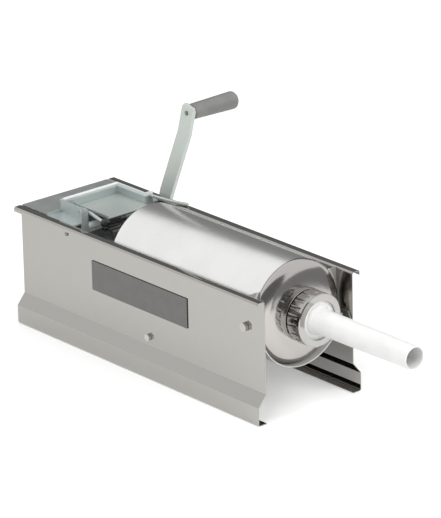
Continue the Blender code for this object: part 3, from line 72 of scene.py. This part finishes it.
class Wire:
    """A shader socket that can be used in Python expressions."""

    def __init__(self, graph: "Graph", socket: bpy.types.NodeSocket) -> None:
        """Keeps the graph that the socket belongs to."""
        self.graph = graph
        self.socket = socket

    def __add__(self, other: "Operand") -> "Wire":
        """Sum of two values."""
        return self.graph.maths("ADD", self, other)

    __radd__ = __add__

    def __mul__(self, other: "Operand") -> "Wire":
        """Product of two values."""
        return self.graph.maths("MULTIPLY", self, other)

    __rmul__ = __mul__

    def __sub__(self, other: "Operand") -> "Wire":
        """Difference of two values."""
        return self.graph.maths("SUBTRACT", self, other)

    def __rsub__(self, other: "Operand") -> "Wire":
        """Difference with the value on the right."""
        return self.graph.maths("SUBTRACT", other, self)

    def swing(self, amount: float) -> "Wire":
        """A noise moved to swing about 0, by half the amount to either side."""
        return (self - 0.5) * amount

    def clamped(self) -> "Wire":
        """The value held between 0 and 1."""
        return self.graph.node("ShaderNodeClamp", {}, {"Value": self})


Operand = Union[Wire, Number]


class Graph:
    """A node tree with one method that makes its nodes."""

    def __init__(self, tree: bpy.types.NodeTree) -> None:
        """Empties the tree that it is given."""
        self.tree = tree
        tree.nodes.clear()

    def node(
        self,
        kind: str,
        settings: dict[str, Any],
        inputs: dict[Union[str, int], Any],
        output: Union[str, int] = 0,
    ) -> Wire:
        """Makes one node.

        Args:
            kind: the node's type name.
            settings: properties set before the sockets.
            inputs: values or wires for its sockets, by name or number.
            output: the socket that is handed back.

        Returns:
            The chosen output as a wire, or the first input of a node with no output.
        """
        made = self.tree.nodes.new(kind)
        for name, value in settings.items():
            setattr(made, name, value)
        for key, value in inputs.items():
            if isinstance(value, Wire):
                self.tree.links.new(value.socket, made.inputs[key])
            else:
                made.inputs[key].default_value = value
        return Wire(self, made.outputs[output] if len(made.outputs) else made.inputs[0])

    def maths(self, operation: str, first: Operand, second: Operand) -> Wire:
        """One Math node on two values."""
        return self.node("ShaderNodeMath", {"operation": operation}, {0: first, 1: second})

    def blend(self, factor: Operand, first: Any, second: Any) -> Wire:
        """Mixes two colours by a factor."""
        settings = {"data_type": "RGBA"}
        return self.node("ShaderNodeMix", settings, {0: factor, 6: first, 7: second}, 2)

    def axis(self, name: str) -> Wire:
        """One of the object coordinates X, Y or Z."""
        spot = self.node("ShaderNodeTexCoord", {}, {}, "Object")
        return self.node("ShaderNodeSeparateXYZ", {}, {"Vector": spot}, name)

    def noise(self, scale: float, detail: float, stretch: Sequence[float] = EVEN) -> Wire:
        """Makes noise between 0 and 1 on object coordinates.

        Args:
            scale: how fine the noise is.
            detail: how many finer layers it has.
            stretch: how fast the noise runs along each axis.

        Returns:
            The noise.
        """
        spot = self.node("ShaderNodeTexCoord", {}, {}, "Object")
        place = self.node("ShaderNodeMapping", {}, {"Vector": spot, "Scale": tuple(stretch)})
        inputs = {"Vector": place, "Scale": scale, "Detail": detail}
        return self.node("ShaderNodeTexNoise", {}, inputs, "Fac")

    def scratches(self, grain: "Grain") -> Wire:
        """The fine noise of a metal's grain."""
        return self.noise(1.0, GRAIN_DETAIL, grain.value)

    def range(self, value: Wire, source: Span, target: Span = (0.0, 1.0)) -> Wire:
        """Maps a value smoothly from one span to another.

        Args:
            value: the value.
            source: the span that it comes from.
            target: what the ends of that span become.

        Returns:
            The mapped value, held between the target's ends.
        """
        inputs = {
            "Value": value,
            "From Min": source[0],
            "From Max": source[1],
            "To Min": target[0],
            "To Max": target[1],
        }
        return self.node("ShaderNodeMapRange", {"interpolation_type": "SMOOTHSTEP"}, inputs)

    def bump(self, height: Wire, strength: float, distance: float) -> Wire:
        """A normal that is tilted by a height."""
        inputs = {"Height": height, "Strength": strength, "Distance": distance}
        return self.node("ShaderNodeBump", {}, inputs, "Normal")

    def surface(self, inputs: dict[Union[str, int], Any]) -> None:
        """Ends the tree in a Principled shader."""
        shader = self.node("ShaderNodeBsdfPrincipled", {}, inputs, "BSDF")
        self.node("ShaderNodeOutputMaterial", {}, {"Surface": shader})


def rgba(colour: Colour, gain: float = 1.0) -> tuple[float, float, float, float]:
    """A colour with full alpha, made lighter or darker by a gain."""
    return (colour[0] * gain, colour[1] * gain, colour[2] * gain, 1.0)


def new_material(name: str) -> tuple[bpy.types.Material, Graph]:
    """Makes a material with an empty node tree.

    Args:
        name: the material's name.

    Returns:
        The material and its node tree.
    """
    made = bpy.data.materials.new(name)
    made.use_nodes = True
    return made, Graph(made.node_tree)


def link(item: bpy.types.Object) -> None:
    """Puts an object into the scene."""
    bpy.context.scene.collection.objects.link(item)


def new_object(
    name: str, shape: bmesh.types.BMesh, material: bpy.types.Material
) -> bpy.types.Object:
    """Makes an object of the stage from a shape.

    Args:
        name: the name of the object and its mesh.
        shape: the shape, which is freed.
        material: the material that it has all over.

    Returns:
        The object, put into the scene.
    """
    mesh = bpy.data.meshes.new(name)
    shape.to_mesh(mesh)
    shape.free()
    mesh.materials.append(material)
    made = bpy.data.objects.new(name, mesh)
    link(made)
    return made


class Grain(Enum):
    """The way in which a metal's fine scratches run."""

    ALONG_X = (4.0, 420.0, 420.0)
    ROUND_X = (900.0, 14.0, 14.0)
    CLOUDY = (60.0, 60.0, 60.0)


@dataclass(frozen=True)
class Surface:
    """A finish: a name and the nodes that make its look."""

    name: str

    def wire(self, graph: Graph) -> None:
        """Sets the finish's nodes into an empty tree."""
        raise NotImplementedError

    def build(self) -> bpy.types.Material:
        """Makes the material.

        Returns:
            The finished material.
        """
        made, graph = new_material(self.name)
        self.wire(graph)
        return made


@dataclass(frozen=True)
class MetalFinish(Surface):
    """Bare or plated metal with grain, smudges and slight waves."""

    colour: Colour
    roughness: float
    grain: Grain
    grain_depth: float = 0.05
    smudge: float = 0.05
    wave: float = 0.0
    cloud: float = 0.05
    tint: Colour = (1.0, 1.0, 1.0)
    metallic: float = 1.0
    smudge_scale: float = 28.0
    cloud_scale: float = 70.0
    cloud_detail: float = 4.0
    cloud_span: Span = (0.35, 0.65)
    wave_scale: float = 11.0
    wave_detail: float = 1.0
    grain_height: float = 0.02
    bump_distance: float = 0.004

    def wire(self, graph: Graph) -> None:
        """Sets the nodes.

        Args:
            graph: the empty tree.
        """
        grain = graph.scratches(self.grain)
        smudge = graph.noise(self.smudge_scale, SMUDGE_DETAIL)
        cloud = graph.noise(self.cloud_scale, self.cloud_detail)
        spread = graph.range(cloud, self.cloud_span)
        tinted = tuple(part * cast for part, cast in zip(self.colour, self.tint))
        shade = graph.blend(spread, rgba(self.colour), rgba(tinted, 1.0 - self.cloud))
        rough = self.roughness + grain.swing(2.0 * self.grain_depth)
        rough = rough + smudge.swing(2.0 * self.smudge)
        swell = graph.noise(self.wave_scale, self.wave_detail)
        height = grain * self.grain_depth * self.grain_height + swell * self.wave
        graph.surface(
            {
                "Base Color": shade,
                "Metallic": self.metallic,
                "Roughness": rough.clamped(),
                "Normal": graph.bump(height, METAL_BUMP, self.bump_distance),
            }
        )


@dataclass(frozen=True)
class BarrelFinish(Surface):
    """Satin tube whose domed end is polished and whose neck is threaded.

    The "_calm" values are the shares of the tube's grain that the dome loses.
    """

    colour: Colour
    end_colour: Colour
    shoulder: float
    neck: float
    satin: float = 0.26
    polish: float = 0.17
    polish_before: float = 0.004
    polish_after: float = 0.003
    seam: float = 0.0009
    seam_shade: float = 0.3
    grain_swing: float = 0.03
    grain_calm: float = 0.6
    grain_height: float = 0.0001
    height_calm: float = 0.7
    smudge_scale: float = 22.0
    smudge_swing: float = 0.06
    smudge_shade: float = 0.95
    neck_fade: float = 0.001
    thread_pitch: float = 0.003
    thread_height: float = 0.25
    bump_distance: float = 0.003

    def wire(self, graph: Graph) -> None:
        """Sets the nodes.

        Args:
            graph: the empty tree.
        """
        along = graph.axis("X")
        start, end = self.shoulder - self.polish_before, self.shoulder + self.polish_after
        domed = graph.range(along, (start, end))
        grain = graph.scratches(Grain.ROUND_X)
        smudge = graph.noise(self.smudge_scale, SMUDGE_DETAIL)
        rough = self.satin * (1 - domed) + self.polish * domed
        rough = rough + grain.swing(self.grain_swing) * (1 - domed * self.grain_calm)
        rough = rough + smudge.swing(self.smudge_swing)
        turn = graph.maths("SINE", along * (2.0 * math.pi / self.thread_pitch), 0.0)
        on_neck = graph.range(along, (self.neck - self.neck_fade, self.neck))
        height = grain * self.grain_height * (1 - domed * self.height_calm)
        height = height + turn * on_neck * self.thread_height
        smudged = graph.range(smudge, MARK_SPAN)
        tube = graph.blend(smudged, rgba(self.colour), rgba(self.colour, self.smudge_shade))
        from_seam = graph.maths("ABSOLUTE", along - self.shoulder, 0.0)
        off_seam = graph.range(from_seam, (0.0, self.seam))
        plain = graph.blend(domed, tube, rgba(self.end_colour))
        shade = graph.blend(off_seam, rgba(self.end_colour, self.seam_shade), plain)
        graph.surface(
            {
                "Base Color": shade,
                "Metallic": 1.0,
                "Roughness": rough.clamped(),
                "Normal": graph.bump(height, METAL_BUMP, self.bump_distance),
            }
        )


@dataclass(frozen=True)
class CradleFinish(Surface):
    """Cross plate whose round seat under the cylinder is painted pale and less metallic: painted
    light over the shade in the gap between seat and dome.
    """

    colour: Colour
    painted_seat_colour: Colour
    axis: Span
    seat_radius: float
    roughness: float = 0.42
    grain_swing: float = 0.12
    metallic: float = 0.6
    seat_edge: float = 0.0015

    def wire(self, graph: Graph) -> None:
        """Sets the nodes.

        Args:
            graph: the empty tree.
        """
        across, above = graph.axis("Y") - self.axis[0], graph.axis("Z") - self.axis[1]
        radius = graph.maths("POWER", across * across + above * above, 0.5)
        edge = (self.seat_radius, self.seat_radius + self.seat_edge)
        # The seat is painted pale and loses its metal: painted light where the seat lies in
        # shade.
        painted_seat_light = graph.range(radius, edge, (1.0, 0.0))
        grain = graph.scratches(Grain.ALONG_X)
        graph.surface(
            {
                "Base Color": graph.blend(painted_seat_light, rgba(self.colour), rgba(self.painted_seat_colour)),
                "Metallic": (1 - painted_seat_light) * self.metallic,
                "Roughness": (self.roughness + grain.swing(self.grain_swing)).clamped(),
            }
        )


@dataclass(frozen=True)
class EdgedFinish(Surface):
    """Plated sheet whose rolled top edge is painted pale and less metallic as a painted
    highlight, but for the wall on its left.
    """

    colour: Colour
    edge_highlight_colour: Colour
    top: float
    left: float
    roughness: float = 0.36
    grain_swing: float = 0.16
    metallic: float = 0.50
    edge_depth: float = 0.006
    fade: float = 0.002
    dull_width: float = 0.0025

    def wire(self, graph: Graph) -> None:
        """Sets the nodes.

        Args:
            graph: the empty tree.
        """
        start = self.top - self.edge_depth
        # The pale band along the top edge is a painted highlight.
        painted_highlight = graph.range(graph.axis("Z"), (start, start + self.fade))
        inner = self.left + self.dull_width
        painted_highlight = graph.range(graph.axis("Y"), (inner, inner + self.fade)) * painted_highlight
        grain = graph.scratches(Grain.CLOUDY)
        graph.surface(
            {
                "Base Color": graph.blend(painted_highlight, rgba(self.colour), rgba(self.edge_highlight_colour)),
                "Metallic": (1 - painted_highlight) * self.metallic,
                "Roughness": (self.roughness + grain.swing(self.grain_swing)).clamped(),
            }
        )


@dataclass(frozen=True)
class MouldedFinish(Surface):
    """Moulded plastic or rubber with a fine skin and faint marks."""

    colour: Colour
    roughness: float
    skin: float = 0.3
    mottling: float = 0.06
    pore_scale: float = 1400.0
    pore_detail: float = 2.0
    pore_bump: float = 0.2
    pore_distance: float = 0.0004
    mark_scale: float = 45.0
    mark_detail: float = 4.0
    mark_swing: float = 0.16

    def wire(self, graph: Graph) -> None:
        """Sets the nodes.

        Args:
            graph: the empty tree.
        """
        pores = graph.noise(self.pore_scale, self.pore_detail)
        marks = graph.noise(self.mark_scale, self.mark_detail)
        factor = graph.range(marks, MARK_SPAN)
        shade = graph.blend(factor, rgba(self.colour), rgba(self.colour, 1.0 - self.mottling))
        rough = self.roughness + marks.swing(self.mark_swing)
        graph.surface(
            {
                "Base Color": shade,
                "Roughness": rough.clamped(),
                "Normal": graph.bump(pores, self.skin * self.pore_bump, self.pore_distance),
            }
        )


class Finish(Enum):
    """The finishes that do not follow a node's own sizes, each made once."""

    POLISHED_SHEET = MetalFinish(
        "polished_sheet",
        (0.405, 0.395, 0.372),
        0.035,
        Grain.ALONG_X,
        grain_depth=0.012,
        smudge=0.012,
        wave=0.004,
        cloud=0.01,
    )
    SHELF_SHEET = MetalFinish(
        "shelf_sheet",
        (0.53, 0.555, 0.54),
        0.50,
        Grain.ALONG_X,
        grain_depth=0.06,
        smudge=0.04,
        cloud=0.10,
    )
    POLISHED_NUT = MetalFinish(
        "polished_nut", (0.46, 0.45, 0.43), 0.14, Grain.CLOUDY, grain_depth=0.03, smudge=0.05
    )
    SATIN_STEEL = MetalFinish(
        "satin_steel", (0.56, 0.55, 0.54), 0.30, Grain.ALONG_X, grain_depth=0.08, smudge=0.06
    )
    PLATE_METAL = MetalFinish(
        "plate_metal", (0.165, 0.161, 0.157), 0.34, Grain.ALONG_X, grain_depth=0.10, smudge=0.06
    )
    ZINC_PLATE = MetalFinish(
        "zinc_plate",
        (0.52, 0.58, 0.575),
        0.36,
        Grain.CLOUDY,
        grain_depth=0.08,
        smudge=0.06,
        cloud=0.02,
        tint=(1.08, 1.03, 0.97),
        metallic=0.50,
    )
    # The crank arm's zinc plating is made lighter than the frame's: painted light on the arm's
    # face.
    ARM_PLATE_LIT = MetalFinish(
        "arm_plate_lit",
        (0.60, 0.655, 0.622),
        0.46,
        Grain.CLOUDY,
        grain_depth=0.08,
        smudge=0.06,
        cloud=0.02,
        tint=(1.06, 1.02, 0.98),
        metallic=0.45,
    )
    DARK_STEEL = MetalFinish(
        "dark_steel", (0.24, 0.24, 0.25), 0.40, Grain.CLOUDY, grain_depth=0.10, smudge=0.08
    )
    BRONZE = MetalFinish(
        "bronze", (0.58, 0.42, 0.22), 0.36, Grain.CLOUDY, grain_depth=0.08, smudge=0.06
    )
    WHITE_PLASTIC = MouldedFinish("white_plastic", (0.86, 0.86, 0.85), 0.34)
    GREY_PLASTIC = MouldedFinish(
        "grey_plastic", (0.22, 0.218, 0.214), 0.42, skin=0.6, mottling=0.12
    )
    BLACK_PLASTIC = MouldedFinish("black_plastic", (0.02, 0.02, 0.02), 0.22, skin=0.2)
    SEAL_RUBBER = MouldedFinish("seal_rubber", (0.66, 0.64, 0.58), 0.62, skin=0.8, mottling=0.14)


class Paintbox:
    """Makes each finish once and puts it on pieces."""

    def __init__(self) -> None:
        """Starts with no material made."""
        self.made: dict[str, bpy.types.Material] = {}

    def material(self, finish: Surface) -> bpy.types.Material:
        """Gives the material of a finish, made when first asked for.

        Args:
            finish: the finish.

        Returns:
            Its material.
        """
        if finish.name not in self.made:
            self.made[finish.name] = finish.build()
        return self.made[finish.name]

    def dress(self, piece: bpy.types.Object, finish: Surface) -> None:
        """Gives a piece one finish all over."""
        piece.data.materials.clear()
        piece.data.materials.append(self.material(finish))


@dataclass
class Assembly:
    """CAD nodes of one sub-assembly that keep their shape and take a finish each."""

    frame: dict[str, Any]
    paint: Paintbox
    finishes: dict[str, Finish] = field(default_factory=dict)
    edge: float = 0.0003
    edge_segments: int = 2
    edge_angle: float = math.radians(50.0)
    weld: float = 0.00001
    crease: float = math.radians(34.0)
    flat_weight: int = 100

    def dress(self) -> None:
        """Finishes each node."""
        for name, finish in self.finishes.items():
            self.apply(name, finish.value)

    def apply(self, name: str, finish: Surface) -> None:
        """Gives one node a finish and softens its edges.

        Args:
            name: the node's name.
            finish: the finish that it has all over.
        """
        piece = self.frame["nodes"][name]
        self.paint.dress(piece, finish)
        self.soften(piece)
        LOG.info("dressed %s with %s", name, finish.name)

    def soften(self, piece: bpy.types.Object) -> None:
        """Joins the loose triangles in a modifier, then rounds and shades the edges.

        Args:
            piece: the node's object, whose own mesh is not changed.
        """
        piece.data.shade_smooth()
        joined = piece.modifiers.new("joined", "WELD")
        joined.merge_threshold = self.weld
        broken = piece.modifiers.new("broken_edges", "BEVEL")
        broken.width = self.edge
        broken.segments = self.edge_segments
        broken.limit_method = "ANGLE"
        broken.angle_limit = self.edge_angle
        broken.use_clamp_overlap = True
        split = piece.modifiers.new("creases", "EDGE_SPLIT")
        split.split_angle = self.crease
        flat = piece.modifiers.new("flat_faces", "WEIGHTED_NORMAL")
        flat.mode = "FACE_AREA"
        flat.weight = self.flat_weight
        flat.keep_sharp = True


@dataclass
class Housing(Assembly):
    """Folded sheet body with its cradle, tie rod, bolts and bare plate."""

    finishes: dict[str, Finish] = field(
        default_factory=lambda: {
            "left_side_panel": Finish.POLISHED_SHEET,
            "right_side_panel": Finish.POLISHED_SHEET,
            "rear_panel": Finish.SHELF_SHEET,
            "tie_rod": Finish.ZINC_PLATE,
            "left_cradle_bolt": Finish.POLISHED_NUT,
            "right_cradle_bolt": Finish.POLISHED_NUT,
            "left_tie_bolt": Finish.SATIN_STEEL,
            "right_tie_bolt": Finish.SATIN_STEEL,
            "name_plate": Finish.PLATE_METAL,
        }
    )
    cradle_colour: Colour = (0.46, 0.45, 0.44)
    # The seat colour is painted light over the shade under the cylinder.
    painted_seat_colour: Colour = (0.62, 0.61, 0.59)
    seat_margin: float = 0.0025

    def dress(self) -> None:
        """Finishes the cradle by the cylinder that it seats, and the rest as other nodes."""
        super().dress()
        low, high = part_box("cylinder")
        middle = (low + high) / 2.0
        radius = (high.y - low.y) / 2.0 + self.seat_margin
        axis = (middle.y, middle.z)
        finish = CradleFinish("cradle_sheet", self.cradle_colour, self.painted_seat_colour, axis, radius)
        self.apply("front_cradle", finish)


@dataclass
class GearBox(Assembly):
    """Gear frame with its cover, bushes, rack guide, brace and catch lever."""

    finishes: dict[str, Finish] = field(
        default_factory=lambda: {
            "gear_cover": Finish.ZINC_PLATE,
            "rack_guide": Finish.WHITE_PLASTIC,
            "left_guide_bolt": Finish.ZINC_PLATE,
            "right_guide_bolt": Finish.ZINC_PLATE,
            "left_bush": Finish.BRONZE,
            "right_bush": Finish.BRONZE,
            "frame_brace": Finish.ZINC_PLATE,
            "lever_pin": Finish.SATIN_STEEL,
            "catch_lever": Finish.ZINC_PLATE,
            "catch_knob": Finish.BLACK_PLASTIC,
        }
    )
    frame_colour: Colour = (0.52, 0.58, 0.575)
    # The rim colour is a painted highlight on the rolled edge.
    edge_highlight_colour: Colour = (0.80, 0.825, 0.815)
    edge_band: float = 0.002

    def dress(self) -> None:
        """Finishes the gear frame by its own rim, and the rest as other nodes."""
        super().dress()
        pan = self.frame["nodes"]["gear_frame"]
        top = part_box("gear_frame")[1].z
        rim = [spot.co for spot in pan.data.vertices if spot.co.z > top - self.edge_band]
        rear = min(spot.x for spot in rim)
        left = min(spot.y for spot in rim if spot.x < rear + self.edge_band)
        finish = EdgedFinish("frame_plate", self.frame_colour, self.edge_highlight_colour, top, left)
        self.apply("gear_frame", finish)


@dataclass
class Crank(Assembly):
    """Shaft, pinion, arm and grip."""

    finishes: dict[str, Finish] = field(
        default_factory=lambda: {
            "crank_shaft": Finish.ZINC_PLATE,
            "pinion": Finish.DARK_STEEL,
            "pinion_pin": Finish.SATIN_STEEL,
            "shaft_retainer": Finish.DARK_STEEL,
            "crank_arm": Finish.ARM_PLATE_LIT,
            "crank_nut": Finish.ZINC_PLATE,
            "grip_axle": Finish.DARK_STEEL,
            "grip_washer": Finish.ZINC_PLATE,
            "grip": Finish.GREY_PLASTIC,
        }
    )


@dataclass
class Plunger(Assembly):
    """Rack, piston and what holds them together."""

    finishes: dict[str, Finish] = field(
        default_factory=lambda: {
            "rack": Finish.SATIN_STEEL,
            "piston": Finish.WHITE_PLASTIC,
            "piston_seal": Finish.SEAL_RUBBER,
            "piston_back_plate": Finish.ZINC_PLATE,
            "piston_screw": Finish.SATIN_STEEL,
        }
    )


@dataclass
class Barrel(Assembly):
    """Cylinder, ring nut, gasket and nozzle."""

    finishes: dict[str, Finish] = field(
        default_factory=lambda: {
            "ring_nut": Finish.POLISHED_NUT,
            "nozzle": Finish.WHITE_PLASTIC,
            "nozzle_gasket": Finish.SEAL_RUBBER,
        }
    )
    dome_depth: float = 0.015
    neck_length: float = 0.021
    collar_length: float = 0.0055
    colour: Colour = (0.85, 0.848, 0.84)
    end_colour: Colour = (0.48, 0.463, 0.445)

    def dress(self) -> None:
        """Finishes the cylinder by its own end, and the rest as other nodes."""
        super().dress()
        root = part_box("cylinder")[1].x - self.neck_length
        shoulder, neck = root - self.dome_depth, root + self.collar_length
        finish = BarrelFinish("barrel", self.colour, self.end_colour, shoulder, neck)
        self.apply("cylinder", finish)


@dataclass(frozen=True)
class PhotoCamera:
    """The camera that the photograph's straight edges give, in the part's frame."""

    place: Point = (3.257494, -2.797970, 1.751313)
    azimuth: float = math.radians(49.978)
    elevation: float = math.radians(20.615)
    roll: float = math.radians(-1.326)
    focal_pixels: float = 3927.90
    frame_pixels: float = 518.0
    sensor: float = 36.0
    clip_end: float = 50.0

    def build(self) -> None:
        """Makes the scene's camera."""
        lens = bpy.data.cameras.new("photo_camera")
        lens.sensor_width = self.sensor
        lens.lens = self.focal_pixels * self.sensor / self.frame_pixels
        lens.clip_end = self.clip_end
        level = math.cos(self.elevation)
        ahead = Vector(
            (
                -math.sin(self.azimuth) * level,
                math.cos(self.azimuth) * level,
                -math.sin(self.elevation),
            )
        )
        flat_right = Vector((math.cos(self.azimuth), math.sin(self.azimuth), 0.0))
        flat_up = flat_right.cross(ahead)
        right = flat_right * math.cos(self.roll) + flat_up * math.sin(self.roll)
        up = flat_up * math.cos(self.roll) - flat_right * math.sin(self.roll)
        turn = Matrix((right, up, -ahead)).transposed().to_4x4()
        camera = bpy.data.objects.new("photo_camera", lens)
        camera.matrix_world = Matrix.Translation(self.place) @ turn
        link(camera)
        bpy.context.scene.camera = camera


@dataclass(frozen=True)
class Softbox:
    """One large area lamp that looks at the machine and shows in no mirror."""

    name: str
    place: Point
    size: float
    power: float

    def build(self) -> None:
        """Makes the lamp, turned to the machine's middle."""
        light = bpy.data.lights.new(self.name, "AREA")
        light.size = self.size
        light.energy = self.power
        holder = bpy.data.objects.new(self.name, light)
        holder.location = self.place
        holder.rotation_euler = (-Vector(self.place)).to_track_quat("-Z", "Y").to_euler()
        holder.visible_glossy = False
        link(holder)


@dataclass(frozen=True)
class Flag:
    """A plain dark upright studio card that shows only in what mirrors it."""

    name: str
    shade: float
    start: Span
    end: Span
    low: float
    high: float

    def build(self) -> None:
        """Makes the card, hidden from camera, diffuse, shadow and transmission rays."""
        feet = (self.start, self.end, self.end, self.start)
        heights = (self.low, self.low, self.high, self.high)
        corners = [(*foot, height) for foot, height in zip(feet, heights)]
        shape = bmesh.new()
        made = [bmesh.ops.create_vert(shape, co=corner)["vert"][0] for corner in corners]
        bmesh.ops.contextual_create(shape, geom=made)
        cloth, graph = new_material(self.name)
        glow = graph.node("ShaderNodeEmission", {}, {"Strength": self.shade}, "Emission")
        graph.node("ShaderNodeOutputMaterial", {}, {"Surface": glow})
        card = new_object(self.name, shape, cloth)
        card.visible_camera = False
        card.visible_diffuse = False
        card.visible_shadow = False
        card.visible_transmission = False


@dataclass
class Studio:
    """Pale floor, white surroundings, soft lamps and dark cards."""

    floor_half: float = 6.0
    floor_drop: float = 0.0003
    floor_colour: Colour = (0.90, 0.90, 0.90)
    floor_glow: float = 0.30
    sky_colour: Colour = (1.0, 1.0, 1.0)
    ambient: float = 0.55
    lamps: tuple[Softbox, ...] = (
        Softbox("key", (0.6, -1.6, 2.4), 1.6, 36.0),
        Softbox("fill", (2.0, 0.6, 1.8), 1.6, 32.0),
    )
    flags: tuple[Flag, ...] = (
        Flag("far_card", 0.20, (-1.369, 0.235), (-0.341, 1.461), 0.0, 1.05),
        Flag("front_card", 0.30, (0.7925, -0.062), (0.2075, 0.622), 0.0, 0.28),
        Flag("camera_side_card", 0.18, (2.544, 0.542), (-0.555, -3.150), 0.22, 2.2),
    )

    def build(self) -> None:
        """Makes the floor, the world, the lamps and the cards."""
        self.build_floor()
        self.build_world()
        for item in (*self.lamps, *self.flags):
            item.build()

    @staticmethod
    def seen(graph: Graph) -> Wire:
        """Tells the rays that show a thing from those that only light.

        Args:
            graph: the tree that asks.

        Returns:
            1 for rays from the camera and for those mirrored or let through, else 0.
        """
        camera = graph.node("ShaderNodeLightPath", {}, {}, "Is Camera Ray")
        glossy = graph.node("ShaderNodeLightPath", {}, {}, "Is Glossy Ray")
        through = graph.node("ShaderNodeLightPath", {}, {}, "Is Transmission Ray")
        return graph.maths("MAXIMUM", graph.maths("MAXIMUM", camera, glossy), through)

    def build_floor(self) -> None:
        """Makes a plain floor that keeps the machine's shadow."""
        shape = bmesh.new()
        bmesh.ops.create_grid(shape, x_segments=1, y_segments=1, size=self.floor_half)
        bmesh.ops.translate(shape, verts=shape.verts, vec=(0.0, 0.0, -self.floor_drop))
        made, graph = new_material("floor")
        matt = graph.node("ShaderNodeBsdfDiffuse", {}, {"Color": rgba(self.floor_colour)}, "BSDF")
        strength = self.seen(graph) * self.floor_glow
        glow = graph.node("ShaderNodeEmission", {}, {"Strength": strength}, "Emission")
        both = graph.node("ShaderNodeAddShader", {}, {0: matt, 1: glow})
        graph.node("ShaderNodeOutputMaterial", {}, {"Surface": both})
        floor = new_object("floor", shape, made)

    def build_world(self) -> None:
        """Makes a world that is white where it is seen, and a plain level where it lights."""
        world = bpy.data.worlds.new("studio")
        world.use_nodes = True
        bpy.context.scene.world = world
        graph = Graph(world.node_tree)
        strength = self.seen(graph) * (1.0 - self.ambient) + self.ambient
        inputs = {"Strength": strength, "Color": rgba(self.sky_colour)}
        sky = graph.node("ShaderNodeBackground", {}, inputs)
        graph.node("ShaderNodeOutputWorld", {}, {"Surface": sky})


def main() -> None:
    """Loads the frame, dresses each assembly, makes the camera and sets the stage."""
    logging.basicConfig(level=logging.INFO, format="%(name)s: %(message)s")
    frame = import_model()
    bpy.context.scene.view_settings.view_transform = "Standard"
    paint = Paintbox()
    for assembly in (Housing, GearBox, Crank, Plunger, Barrel):
        assembly(frame, paint).dress()
    PhotoCamera().build()
    Studio().build()


if __name__ == "__main__":
    main()
